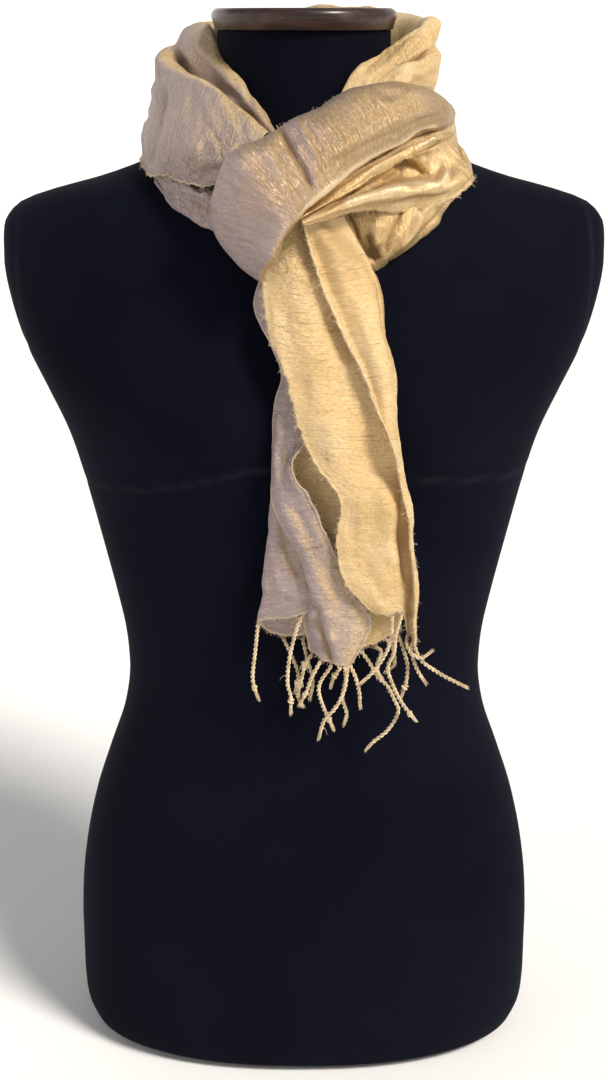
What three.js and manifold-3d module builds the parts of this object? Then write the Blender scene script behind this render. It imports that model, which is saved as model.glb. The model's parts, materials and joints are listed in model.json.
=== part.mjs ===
// A fringed raw-silk scarf, folded double and pulled through its own loop, worn by a limbless dress form.
// Millimetres, +Z up. The origin is the middle of the form's flat base, and the form faces -Y.
// +X is on the right of someone who looks at the front.
import * as THREE from "three";
import { mergeVertices } from "three/addons/utils/BufferGeometryUtils.js";
import Module from "manifold-3d";

const wasm = await Module();
wasm.setup();

// Driving dimensions
const CLOTH = 1.6; // wall of the doubled silk
const GAP = 0.3; // between pieces that meet
const SLIVER = 0.04; // facets finer than this are merged after a cut
const CAP_WIDTH = 124;
const CAP_DEPTH = 120;
const CAP_THICK = 14;
const CAP_ROUND = 5;
const NECK_TOP = 739.7; // the form's own height, under the cap
const FRINGE_ROOT = 3.2; // width of the strip that a row of strands grows from
const STRAND = 2.6; // across one twisted strand

// Horizontal sections of the form, from the base up: its half width, how far it comes forward and back
// of the neck's axis, and how square the section is (2 is an ellipse)
const formSections = [
  { z: 0, half: 146, front: 84, back: 96, square: 2.3 },
  { z: 3, half: 157, front: 93, back: 106, square: 2.3 },
  { z: 14, half: 167, front: 100, back: 115, square: 2.3 },
  { z: 40, half: 171, front: 104, back: 120, square: 2.3 },
  { z: 90, half: 171, front: 105, back: 124, square: 2.3 },
  { z: 124, half: 169, front: 104, back: 124, square: 2.3 },
  { z: 158, half: 164, front: 102, back: 120, square: 2.3 },
  { z: 192, half: 156, front: 99, back: 113, square: 2.3 },
  { z: 225, half: 145, front: 95, back: 104, square: 2.3 },
  { z: 257, half: 134, front: 91, back: 94, square: 2.3 },
  { z: 290, half: 129, front: 89, back: 86, square: 2.3 },
  { z: 321, half: 131, front: 90, back: 82, square: 2.3 },
  { z: 352, half: 137, front: 92, back: 82, square: 2.3 },
  { z: 383, half: 144, front: 95, back: 84, square: 2.3 },
  { z: 413, half: 151, front: 98, back: 87, square: 2.3 },
  { z: 443, half: 158, front: 102, back: 90, square: 2.4 },
  { z: 473, half: 167, front: 106, back: 94, square: 2.4 },
  { z: 502, half: 180, front: 107, back: 98, square: 2.4 },
  { z: 530, half: 193, front: 105, back: 101, square: 2.4 },
  { z: 559, half: 202, front: 101, back: 102, square: 2.4 },
  { z: 587, half: 207, front: 96, back: 100, square: 2.3 },
  { z: 605, half: 207, front: 91, back: 97, square: 2.2 },
  { z: 619, half: 203, front: 86, back: 93, square: 2.1 },
  { z: 629, half: 191, front: 82, back: 90, square: 2 },
  { z: 636, half: 170, front: 79, back: 88, square: 2 },
  { z: 643, half: 143, front: 76, back: 85, square: 2 },
  { z: 651, half: 119, front: 72, back: 81, square: 2 },
  { z: 661, half: 95, front: 67, back: 76, square: 2 },
  { z: 674, half: 75, front: 62, back: 69, square: 2 },
  { z: 690, half: 64, front: 58, back: 62, square: 2 },
  { z: 712, half: 59, front: 55, back: 58, square: 2 },
  { z: NECK_TOP, half: 58, front: 54, back: 57, square: 2 },
];
const bust = { apart: 82, z: 500, wide: 52, high: 46, out: 17 };
const FORM_ROUND = 40; // points round a section

// Each stretch of the scarf is a wall through the rows of a table. A row is one section across the cloth, and
// its columns are the lines that run along it: edges, crests and grooves of its folds, as [x, y, z].
const collarBack = {
  columns: ["neck", "crest", "top", "valley", "ridge", "dent", "face", "hem"],
  rows: {
    leftSeam: [[-52, 34, 700], [-63, 36, 742], [-80, 40, 741], [-89, 38, 730], [-99, 36, 725], [-101, 38, 702],
      [-105, 38, 678], [-104, 40, 652]],
    leftRear: [[-38, 49, 700], [-45, 60, 745], [-58, 70, 746], [-62, 76, 736], [-70, 84, 731], [-69, 85, 711],
      [-78, 90, 688], [-74, 89, 648]],
    leftNape: [[-14, 59, 700], [-17, 70, 748], [-20, 82, 751], [-21, 90, 741], [-23, 101, 737], [-22, 98, 719],
      [-26, 108, 696], [-24, 97, 644]],
    rightNape: [[16, 59, 700], [18, 70, 752], [20, 83, 756], [20, 91, 746], [22, 102, 741], [21, 98, 723],
      [25, 109, 700], [24, 97, 644]],
    rightRear: [[40, 49, 700], [50, 60, 749], [61, 71, 751], [63, 76, 741], [73, 84, 734], [69, 83, 712],
      [81, 91, 690], [76, 89, 648]],
    rightSeam: [[54, 34, 700], [76, 38, 746], [87, 40, 745], [88, 38, 733], [94, 38, 723], [89, 38, 699],
      [104, 40, 683], [107, 42, 651]],
  },
  across: 13,
  along: 15,
};
const collarLeft = {
  columns: ["neck", "crest", "top", "valley", "ridge", "upper", "face", "hem"],
  rows: {
    seam: [[-52, 34, 700], [-63, 36, 742], [-80, 40, 741], [-89, 38, 730], [-99, 36, 725], [-101, 38, 702],
      [-105, 38, 678], [-104, 40, 652]],
    side: [[-61, 4, 700], [-65, 16, 742], [-79, 18, 739], [-86, 14, 722], [-98, 8, 719], [-99, -2, 703],
      [-106, -14, 681], [-107, -38, 656]],
    frontLeft: [[-54, -24, 692], [-53, -20, 722], [-60, -24, 720], [-66, -24, 712], [-81, -36, 713],
      [-87, -48, 695], [-95, -60, 672], [-101, -62, 648]],
    breast: [[-43, -44, 684], [-42, -44, 709], [-48, -50, 708], [-53, -47, 703], [-64, -61, 707],
      [-72, -74, 690], [-80, -85, 670], [-85, -81, 649]],
    byTheBand: [[-31, -66, 674], [-31, -68, 698], [-35, -74, 696], [-39, -72, 692], [-47, -85, 698],
      [-55, -97, 684], [-62, -105, 667], [-67, -100, 647]],
    underTheBand: [[-18, -88, 664], [-18, -98, 680], [-19, -103, 679], [-20, -102, 677], [-23, -114, 680],
      [-31, -120, 670], [-40, -121, 658], [-50, -112, 645]],
  },
  across: 14,
  along: 15,
};
const collarLeftLow = {
  columns: ["top", "bulge", "crease", "roll", "under"],
  rows: {
    side: [[-100, -44, 655], [-101, -52, 651], [-98, -52, 648], [-97, -57, 645], [-92, -52, 641]],
    shoulder: [[-89, -68, 653], [-90, -77, 647], [-87, -74, 641], [-85, -75, 633], [-78, -66, 629]],
    breast: [[-73, -84, 649], [-75, -93, 643], [-72, -89, 635], [-71, -88, 625], [-63, -79, 620]],
    byTheBand: [[-59, -98, 645], [-61, -106, 639], [-58, -101, 629], [-57, -99, 619], [-50, -88, 614]],
    underTheBand: [[-44, -106, 640], [-45, -111, 634], [-43, -107, 624], [-42, -105, 614], [-36, -93, 609]],
  },
  across: 9,
  along: 10,
};
const collarRight = {
  columns: ["neck", "crest", "top", "dip", "ridge", "face", "tuck"],
  rows: {
    seam: [[54, 34, 700], [76, 38, 746], [87, 40, 745], [88, 38, 733], [94, 38, 723], [92, 38, 712],
      [88, 38, 702]],
    side: [[62, 4, 700], [84, 14, 747], [91, 16, 744], [87, 6, 727], [90, -1, 720], [89, -6, 708], [85, -6, 697]],
    frontRight: [[58, -16, 695], [67, -6, 735], [74, -12, 730], [77, -18, 722], [80, -22, 720], [81, -30, 709],
      [77, -29, 698]],
    breast: [[46, -38, 688], [50, -24, 726], [56, -34, 720], [60, -40, 714], [64, -44, 716], [66, -52, 706],
      [62, -50, 696]],
    byTheBand: [[34, -56, 680], [33, -48, 715], [39, -57, 709], [44, -62, 705], [48, -68, 706], [50, -76, 697],
      [46, -74, 689]],
    underTheBand: [[22, -74, 670], [22, -72, 698], [26, -80, 694], [29, -84, 691], [32, -92, 692], [34, -98, 684],
      [30, -96, 678]],
  },
  across: 12,
  along: 14,
};
const knotBand = {
  columns: ["back", "turn", "top", "upper", "lower", "roll", "under"],
  rows: {
    seam: [[84, 39, 690], [88, 39, 694], [93, 39, 693], [99, 39, 690], [103, 39, 685], [103, 39, 680],
      [99, 39, 676]],
    side: [[84, -4, 692], [88, -6, 696], [93, -9, 695], [98, -13, 691], [100, -16, 686], [99, -19, 681],
      [95, -17, 677]],
    right: [[80, -36, 697], [84, -38, 700], [89, -43, 698], [93, -45, 693], [94, -46, 687], [92, -43, 680],
      [88, -39, 677]],
    rightFront: [[62, -57, 702], [65, -60, 706], [69, -66, 706], [76, -73, 699], [79, -76, 690], [77, -70, 681],
      [73, -64, 676]],
    frontRight: [[34, -82, 701], [37, -85, 706], [41, -91, 707], [50, -100, 697], [57, -104, 686],
      [57, -98, 674], [53, -91, 670]],
    front: [[4, -104, 690], [7, -107, 694], [10, -113, 695], [20, -123, 686], [28, -128, 673], [30, -122, 661],
      [26, -114, 656]],
    crease: [[-22, -112, 676], [-20, -117, 680], [-17, -123, 681], [-8, -133, 671], [2, -139, 658],
      [8, -141, 645], [5, -134, 640]],
    leftTurn: [[-42, -118, 664], [-45, -124, 667], [-44, -132, 666], [-33, -140, 656], [-18, -146, 645],
      [-4, -148, 633], [-5, -141, 628]],
    lowLeft: [[-46, -110, 642], [-54, -118, 643], [-57, -126, 641], [-46, -137, 637], [-29, -144, 631],
      [-12, -149, 624], [-12, -142, 619]],
    low: [[-42, -104, 622], [-50, -112, 620], [-54, -120, 618], [-47, -130, 616], [-34, -139, 613],
      [-20, -147, 609], [-18, -140, 605]],
    tip: [[-28, -108, 606], [-34, -114, 602], [-39, -121, 599], [-38, -128, 599], [-33, -134, 599],
      [-27, -140, 598], [-24, -134, 596]],
    end: [[-20, -112, 600], [-24, -117, 596], [-28, -122, 593], [-29, -127, 592], [-28, -131, 592],
      [-26, -134, 592], [-23, -129, 591]],
  },
  across: 10,
  along: 24,
};
const knotLobe = {
  columns: ["groove", "fold", "second groove", "second fold", "upper", "hollow", "bulge", "hem"],
  rows: {
    seam: [[100, 39, 675], [105, 39, 673], [102, 39, 670], [105, 39, 667], [104, 39, 663], [105, 39, 660],
      [107, 39, 655], [106, 39, 649]],
    side: [[90, -12, 683], [99, -17, 677], [97, -18, 672], [101, -20, 671], [103, -22, 667], [107, -26, 661],
      [110, -30, 655], [110, -34, 648]],
    right: [[80, -39, 683], [87, -46, 677], [85, -47, 671], [88, -50, 669], [92, -50, 664], [98, -52, 657],
      [105, -58, 650], [110, -56, 645]],
    lobe: [[62, -62, 681], [70, -74, 674], [67, -74, 668], [70, -78, 665], [75, -72, 661], [80, -72, 652],
      [88, -84, 643], [92, -78, 635]],
    middle: [[46, -83, 674], [52, -95, 666], [48, -93, 660], [50, -97, 656], [54, -90, 654], [59, -90, 650],
      [66, -106, 644], [70, -94, 631]],
    front: [[24, -104, 662], [29, -116, 655], [26, -112, 649], [27, -117, 645], [30, -110, 645], [34, -112, 643],
      [38, -122, 641], [38, -112, 633]],
    near: [[7, -121, 650], [12, -132, 644], [9, -128, 640], [10, -133, 637], [11, -127, 637], [13, -128, 636],
      [15, -134, 634], [14, -128, 629]],
    gather: [[-6, -131, 641], [-3, -140, 635], [-4, -136, 632], [-3, -139, 631], [-2, -136, 630],
      [-2, -137, 629], [-1, -139, 628], [-1, -135, 627]],
  },
  across: 14,
  along: 16,
};
const loopUnder = {
  columns: ["top", "upper", "crease", "face", "bottom"],
  rows: {
    side: [[104, -30, 657], [106, -36, 653], [106, -42, 649], [104, -50, 645], [99, -54, 640]],
    shoulder: [[88, -58, 655], [92, -68, 648], [93, -74, 641], [97, -73, 637], [92, -69, 630]],
    breast: [[71, -76, 650], [76, -88, 640], [75, -92, 628], [80, -89, 620], [77, -81, 613]],
    low: [[50, -88, 646], [54, -100, 634], [55, -104, 616], [60, -98, 606], [57, -90, 600]],
    behindTheTails: [[22, -96, 642], [30, -102, 626], [36, -101, 608], [42, -100, 598], [44, -94, 592]],
    bight: [[-20, -100, 642], [-14, -102, 624], [-8, -102, 608], [-2, -100, 598], [4, -96, 592]],
  },
  across: 9,
  along: 13,
};
const tailFront = {
  columns: ["left", "face", "inner", "fold", "strip", "edge"],
  rows: {
    root: [[-16, -118, 628], [-8, -121, 628], [4, -114, 629], [24, -112, 630], [12, -122, 629], [-1, -130, 628]],
    collar: [[-26, -120, 587], [-6, -126, 587], [24, -117, 588], [46, -116, 588], [34, -127, 588],
      [13, -133, 586]],
    throat: [[-22, -123, 558], [0, -129, 557], [34, -121, 556], [51, -120, 556], [42, -131, 556],
      [27, -136, 555]],
    chest: [[-13, -127, 535], [6, -132, 535], [40, -124, 535], [57, -124, 536], [50, -134, 536], [38, -138, 534]],
    bust: [[-5, -130, 504], [14, -134, 503], [46, -126, 502], [59, -127, 502], [56, -135, 502], [50, -139, 502]],
    rib: [[5, -132, 477], [22, -135, 474], [48, -128, 470], [63, -126, 470], [63, -134, 470], [60, -138, 470]],
    waist: [[23, -133, 452], [36, -135, 450], [60, -130, 450], [67, -122, 450], [69, -129, 450], [64, -136, 449]],
    low: [[21, -130, 420], [36, -131, 420], [61, -127, 420], [70, -118, 420], [72, -126, 420], [69, -132, 420]],
    lower: [[27, -128, 393], [42, -129, 392], [62, -125, 390], [72, -116, 388], [75, -122, 386], [72, -127, 386]],
    hem: [[45, -126, 372], [54, -128, 371], [65, -123, 371], [71, -113, 350], [75, -117, 347], [73, -121, 346]],
  },
  across: 14,
  along: 20,
};
const tailUnder = {
  columns: ["left", "ridge", "face", "lip"],
  rows: {
    root: [[-20, -106, 612], [-14, -112, 612], [0, -114, 612], [18, -110, 612]],
    collar: [[-31, -106, 571], [-24, -112, 571], [-4, -118, 571], [20, -113, 571]],
    throat: [[-22, -111, 549], [-14, -116, 549], [2, -120, 549], [24, -116, 549]],
    chest: [[-15, -113, 529], [-8, -118, 529], [4, -122, 529], [20, -119, 529]],
    bust: [[-20, -115, 502], [-13, -121, 502], [-2, -124, 500], [8, -124, 498]],
    rib: [[-21, -116, 468], [-17, -122, 469], [-12, -124, 470], [-7, -129, 471]],
    waist: [[-21, -117, 444], [-15, -123, 445], [-4, -125, 447], [4, -127, 450]],
    low: [[-7, -117, 415], [-2, -124, 414], [8, -125, 414], [18, -124, 417]],
    lower: [[3, -116, 388], [8, -124, 386], [20, -124, 385], [32, -121, 384]],
    flare: [[0, -111, 362], [11, -124, 362], [28, -124, 362], [45, -119, 362]],
    hem: [[3, -110, 340], [17, -122, 334], [26, -123, 333], [32, -119, 333]],
  },
  across: 8,
  along: 20,
};
const tailInner = {
  columns: ["left", "middle", "right"],
  rows: {
    rib: [[-12, -115, 486], [8, -118, 486], [30, -117, 486]],
    waist: [[-11, -113, 446], [14, -116, 446], [38, -115, 446]],
    low: [[-2, -111, 410], [22, -115, 410], [44, -113, 410]],
    lower: [[12, -109, 374], [36, -113, 376], [62, -111, 374]],
    hem: [[22, -109, 336], [42, -113, 343], [66, -109, 353]],
  },
  across: 7,
  along: 12,
};
const tailSide = {
  columns: ["lip", "face", "fold", "back", "far"],
  rows: {
    top: [[-6, -113, 460], [-14, -115, 459], [-21, -111, 458], [-14, -108, 458], [0, -108, 458]],
    rib: [[-2, -114, 432], [-14, -116, 430], [-23, -110, 430], [-14, -104, 430], [4, -104, 430]],
    waist: [[6, -114, 402], [-10, -116, 400], [-26, -108, 400], [-14, -101, 398], [8, -101, 398]],
    low: [[10, -115, 384], [-8, -116, 380], [-28, -107, 377], [-14, -99, 374], [8, -99, 374]],
    hem: [[11, -118, 372], [-10, -115, 364], [-31, -106, 358], [-16, -98, 345], [8, -98, 347]],
  },
  across: 12,
  along: 10,
};

// Each row of fringe grows from a strip along part of one hem. A strand's root is a share of the way along
// that hem, and its other points are [x, y, z], down to its tied and frayed tip.
const fringes = {
  fringe_side: {
    hem: tailSide,
    strands: [
      { root: 0.5, points: [[-33, -106, 338], [-35, -106, 316], [-33, -106, 307], [-31, -106, 302]] },
      { root: 0.16, points: [[-5, -119, 357], [-10, -121, 336], [-11, -121, 318], [-9, -120, 309], [-9, -120, 297]] },
      { root: 0.78, points: [[-8, -100, 330], [-4, -102, 318], [-6, -104, 306]] },
      { root: 0.92, points: [[2, -101, 330], [6, -104, 314], [4, -106, 302]] },
    ],
  },
  fringe_under: {
    hem: tailUnder,
    strands: [
      { root: 0.06, points: [[1, -113, 330], [-2, -113, 318], [-4, -113, 306], [-1, -113, 300]] },
      { root: 0.2, points: [[5, -118, 322], [1, -117, 310], [-3, -116, 302]] },
      { root: 0.36, points: [[10, -119, 316], [13, -116, 300], [17, -113, 290], [20, -112, 282]] },
      { root: 0.62, points: [[21, -119, 325], [18, -118, 316]] },
      { root: 0.76, points: [[28, -117, 320], [26, -115, 306], [29, -115, 294], [27, -115, 287]] },
      { root: 0.9, points: [[27, -123, 315], [21, -123, 302], [14, -121, 293], [10, -120, 279]] },
      { root: 0.98, points: [[34, -123, 326], [37, -123, 314], [38, -122, 302]] },
    ],
  },
  fringe_inner: {
    hem: tailInner,
    strands: [
      { root: 0.42, points: [[44, -115, 332], [50, -117, 322], [56, -117, 316], [61, -117, 306], [64, -117, 298],
        [57, -116, 283], [47, -116, 274], [43, -116, 269]] },
      { root: 0.62, points: [[52, -110, 338], [49, -110, 326], [53, -109, 318]] },
      { root: 0.8, points: [[60, -108, 340], [61, -109, 328], [56, -110, 324]] },
      { root: 0.94, points: [[67, -110, 340], [70, -112, 328], [69, -113, 316], [66, -113, 306]] },
    ],
  },
  fringe_front: {
    hem: tailFront,
    strands: [
      { root: 0.26, points: [[57, -130, 352], [52, -130, 340], [44, -128, 328], [38, -128, 322]] },
      { root: 0.4, points: [[61, -126, 356], [60, -126, 344], [56, -125, 332], [59, -125, 321], [66, -124, 306],
        [76, -122, 292]] },
      { root: 0.58, points: [[69, -120, 346], [73, -122, 340], [79, -122, 338], [85, -121, 342]] },
      { root: 0.7, points: [[72, -116, 342], [76, -117, 328], [82, -117, 318]] },
      { root: 0.9, points: [[78, -120, 336], [92, -119, 325], [110, -118, 315]] },
    ],
  },
};

// The middle surface of a stretch, as rows of points: one row for each step along it.
function surface(stretch) {
  const smooth = (points) => new THREE.CatmullRomCurve3(points, false, "centripetal");
  const sections = Object.values(stretch.rows);
  const lines = stretch.columns.map((_, k) => smooth(sections.map((row) => new THREE.Vector3(...row[k]))));
  const rows = [];
  for (let j = 0; j <= stretch.along; j++) {
    const here = smooth(lines.map((line) => line.getPoint(j / stretch.along)));
    const row = [];
    for (let i = 0; i <= stretch.across; i++) row.push(here.getPoint(i / stretch.across));
    rows.push(row);
  }
  return rows;
}

function normals(rows) {
  const last = rows.length - 1;
  return rows.map((row, j) =>
    row.map((_, i) => {
      const end = row.length - 1;
      const across = row[Math.min(i + 1, end)].clone().sub(row[Math.max(i - 1, 0)]);
      const down = rows[Math.min(j + 1, last)][i].clone().sub(rows[Math.max(j - 1, 0)][i]);
      return across.cross(down).normalize();
    }),
  );
}

// A stretch's closed wall. Extra makes it larger on every side, for cutting its neighbours clear.
function wall(stretch, extra = 0) {
  const rows = surface(stretch);
  const last = rows.length - 1;
  const end = rows[0].length - 1;
  const push = (p, inside) => p.addScaledVector(p.clone().sub(inside).normalize(), extra);
  for (const row of rows) {
    push(row[0], row[1]);
    push(row[end], row[end - 1]);
  }
  for (let i = 0; i <= end; i++) {
    push(rows[0][i], rows[1][i]);
    push(rows[last][i], rows[last - 1][i]);
  }
  return wallOf(rows, CLOTH / 2 + extra);
}

// A closed wall that stands half its thickness off each side of a surface.
function wallOf(rows, half) {
  const faces = normals(rows);
  const wide = rows[0].length;
  const last = rows.length - 1;
  const positions = [];
  for (const side of [half, -half])
    rows.forEach((row, j) => row.forEach((p, i) => positions.push(...p.clone().addScaledVector(faces[j][i], side))));
  const back = rows.length * wide;
  const index = [];
  const quad = (a, b, c, d) => index.push(a, b, c, a, c, d);
  for (let j = 0; j < last; j++)
    for (let i = 0; i < wide - 1; i++) {
      const a = j * wide + i;
      quad(a, a + 1, a + 1 + wide, a + wide);
      quad(back + a, back + a + wide, back + a + 1 + wide, back + a + 1);
    }
  for (let i = 0; i < wide - 1; i++) {
    const end = last * wide + i;
    quad(back + i, back + i + 1, i + 1, i);
    quad(end, end + 1, back + end + 1, back + end);
  }
  for (let j = 0; j < last; j++) {
    const a = j * wide;
    const b = a + wide - 1;
    quad(a, a + wide, back + a + wide, back + a);
    quad(back + b, back + b + wide, b + wide, b);
  }
  return geometryOf(positions, index);
}

function geometryOf(positions, index) {
  const geometry = new THREE.BufferGeometry();
  geometry.setAttribute("position", new THREE.Float32BufferAttribute(positions, 3));
  geometry.setIndex(index);
  return geometry;
}

// The strip along a hem, and the strands fused to it.
function fringe({ hem, strands }) {
  const rows = surface(hem);
  const last = rows.length - 1;
  const edge = rows[last];
  const out = edge.map((p, i) => p.clone().sub(rows[last - 1][i]).normalize());
  const line = (offset) => edge.map((p, i) => p.clone().addScaledVector(out[i], offset));
  const strip = [line(GAP), line(GAP + FRINGE_ROOT)];
  const middle = new THREE.CatmullRomCurve3(line(GAP + FRINGE_ROOT / 2), false, "centripetal");
  let solid = solidOf(wallOf(strip, STRAND / 2));
  for (const { root, points } of strands) {
    const path = [middle.getPoint(root), ...points.map((p) => new THREE.Vector3(...p))];
    solid = solid.add(solidOf(strand(path)));
  }
  return solid;
}

// One strand: a four-sided cord that swells at the knot near its end and frays to a blunt tip.
function strand(path) {
  const curve = new THREE.CatmullRomCurve3(path, false, "centripetal");
  const steps = 3 * (path.length - 1);
  const positions = [];
  const side = new THREE.Vector3();
  const front = new THREE.Vector3();
  for (let j = 0; j <= steps; j++) {
    const t = j / steps;
    const p = curve.getPoint(t);
    const tangent = curve.getTangent(t);
    side.crossVectors(tangent, new THREE.Vector3(0, 1, 0)).normalize();
    front.crossVectors(side, tangent).normalize();
    const swell = j === steps ? 0.55 : j === steps - 1 ? 1.15 : j === steps - 2 ? 1.3 : 1;
    const r = (STRAND / 2) * swell;
    for (const [a, b] of [[1, 0], [0, 1], [-1, 0], [0, -1]])
      positions.push(...p.clone().addScaledVector(side, a * r).addScaledVector(front, b * r));
  }
  const index = [];
  for (let j = 0; j < steps; j++)
    for (let k = 0; k < 4; k++) {
      const a = j * 4 + k;
      const b = j * 4 + ((k + 1) % 4);
      index.push(a, b + 4, b, a, a + 4, b + 4);
    }
  const top = steps * 4;
  index.push(0, 1, 2, 0, 2, 3, top, top + 2, top + 1, top, top + 3, top + 2);
  return geometryOf(positions, index);
}

// The form's skin: rings of points, closed by flat ends.
function form(extra = 0) {
  const positions = [];
  for (const s of formSections)
    for (let k = 0; k < FORM_ROUND; k++) {
      const angle = (2 * Math.PI * k) / FORM_ROUND;
      const c = Math.cos(angle);
      const d = Math.sin(angle);
      const bend = 2 / s.square;
      const x = Math.sign(c) * Math.abs(c) ** bend * (s.half + extra);
      let y = Math.sign(d) * Math.abs(d) ** bend * ((d < 0 ? s.front : s.back) + extra);
      if (d < 0)
        for (const side of [-1, 1]) {
          const across = (x - side * bust.apart) / bust.wide;
          const up = (s.z - bust.z) / bust.high;
          y -= bust.out * Math.exp(-across * across - up * up) * Math.min(1, -3 * d);
        }
      positions.push(x, y, s.z);
    }
  const ends = [
    [0, 0, 0],
    [0, 0, NECK_TOP],
  ];
  ends.forEach((p) => positions.push(...p));
  const rings = formSections.length;
  const base = rings * FORM_ROUND;
  const index = [];
  for (let j = 0; j < rings - 1; j++)
    for (let k = 0; k < FORM_ROUND; k++) {
      const a = j * FORM_ROUND + k;
      const b = j * FORM_ROUND + ((k + 1) % FORM_ROUND);
      index.push(a, b, b + FORM_ROUND, a, b + FORM_ROUND, a + FORM_ROUND);
    }
  for (let k = 0; k < FORM_ROUND; k++) {
    const next = (k + 1) % FORM_ROUND;
    const top = (rings - 1) * FORM_ROUND;
    index.push(base, next, k);
    index.push(base + 1, top + k, top + next);
  }
  return geometryOf(positions, index);
}

function neckCap() {
  const radius = CAP_WIDTH / 2;
  const low = NECK_TOP + GAP;
  const profile = [new THREE.Vector2(0, 0), new THREE.Vector2(radius - 2, 0)];
  for (let k = 0; k <= 6; k++) {
    const angle = -Math.PI / 6 + (k / 6) * (Math.PI * 2) / 3;
    const bulge = CAP_ROUND;
    profile.push(new THREE.Vector2(radius - bulge + bulge * Math.cos(angle), CAP_THICK - bulge + bulge * Math.sin(angle)));
  }
  profile.push(new THREE.Vector2(0, CAP_THICK));
  const geometry = new THREE.LatheGeometry(profile, 32);
  geometry.rotateX(Math.PI / 2);
  geometry.scale(1, CAP_DEPTH / CAP_WIDTH, 1);
  geometry.translate(0, 0, low);
  return geometry;
}

function solidOf(geometry) {
  const bare = geometry.clone();
  bare.deleteAttribute("normal");
  bare.deleteAttribute("uv");
  const merged = mergeVertices(bare, 1e-4);
  return new wasm.Manifold(
    new wasm.Mesh({
      numProp: 3,
      vertProperties: new Float32Array(merged.attributes.position.array),
      triVerts: new Uint32Array(merged.index.array),
    }),
  );
}

// The main body of what a cut leaves, without the slivers it made.
function largest(solid) {
  return solid.simplify(SLIVER).decompose().reduce((a, b) => (a.volume() > b.volume() ? a : b));
}

function meshGeometry(solid) {
  const mesh = solid.getMesh();
  return geometryOf(Array.from(mesh.vertProperties), Array.from(mesh.triVerts));
}

const silk = { color: 0xd2ae78, roughness: 0.5, metalness: 0 };
const root = new THREE.Group();
function add(name, geometry, look) {
  const mesh = new THREE.Mesh(geometry, new THREE.MeshStandardMaterial(look));
  mesh.name = name;
  root.add(mesh);
}

add("dress_form", form(), { color: 0x0c0d12, roughness: 0.9, metalness: 0 });
add("neck_cap", neckCap(), { color: 0x3a2320, roughness: 0.3, metalness: 0 });

// From the outermost stretch inwards. Where a stretch runs in under an outer one it is cut clear of it.
const stretches = [
  ["knot_band", knotBand],
  ["knot_lobe", knotLobe],
  ["tail_front", tailFront],
  ["tail_under", tailUnder],
  ["tail_inner", tailInner],
  ["tail_side", tailSide],
  ["collar_left", collarLeft],
  ["collar_left_low", collarLeftLow],
  ["collar_right", collarRight],
  ["loop_under", loopUnder],
  ["collar_back", collarBack],
];
const formBody = solidOf(form(GAP));
const outer = [];
for (const [name, stretch] of stretches) {
  let solid = solidOf(wall(stretch)).subtract(formBody);
  for (const cutter of outer) solid = solid.subtract(cutter);
  add(name, meshGeometry(largest(solid)), silk);
  outer.push(solidOf(wall(stretch, GAP)).add(solidOf(wall(stretch))));
}
for (const [name, row] of Object.entries(fringes)) {
  let solid = fringe(row);
  for (const cutter of outer) solid = solid.subtract(cutter);
  add(name, meshGeometry(largest(solid)), silk);
}

export default root;
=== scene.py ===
import json
import math

import bpy
import numpy as np
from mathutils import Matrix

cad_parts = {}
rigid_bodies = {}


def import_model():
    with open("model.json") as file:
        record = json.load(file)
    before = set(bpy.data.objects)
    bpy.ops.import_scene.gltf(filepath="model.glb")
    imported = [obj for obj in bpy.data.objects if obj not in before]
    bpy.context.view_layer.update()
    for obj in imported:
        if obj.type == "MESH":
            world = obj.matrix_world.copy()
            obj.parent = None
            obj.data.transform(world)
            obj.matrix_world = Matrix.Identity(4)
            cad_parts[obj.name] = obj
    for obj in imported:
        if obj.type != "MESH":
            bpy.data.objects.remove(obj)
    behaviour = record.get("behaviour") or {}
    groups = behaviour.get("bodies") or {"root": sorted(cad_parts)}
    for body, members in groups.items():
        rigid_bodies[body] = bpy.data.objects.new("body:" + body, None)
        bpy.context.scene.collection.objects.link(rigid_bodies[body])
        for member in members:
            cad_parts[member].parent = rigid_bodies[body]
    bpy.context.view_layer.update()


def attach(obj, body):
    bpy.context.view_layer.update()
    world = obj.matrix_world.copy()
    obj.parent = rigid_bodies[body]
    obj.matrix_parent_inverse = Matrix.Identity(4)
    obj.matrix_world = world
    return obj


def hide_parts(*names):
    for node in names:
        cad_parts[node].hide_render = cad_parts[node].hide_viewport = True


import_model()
mm = 0.001
fullTurn = 2 * math.pi


# node trees, written as Python expressions
class Sock:
    def __init__(self, tree, out):
        self.tree, self.out = tree, out

    def __add__(self, other):
        return self.tree.maths("ADD", self, other)

    def __sub__(self, other):
        return self.tree.maths("SUBTRACT", self, other)

    def __rsub__(self, other):
        return self.tree.maths("SUBTRACT", other, self)

    def __mul__(self, other):
        return self.tree.maths("MULTIPLY", self, other)


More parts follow.
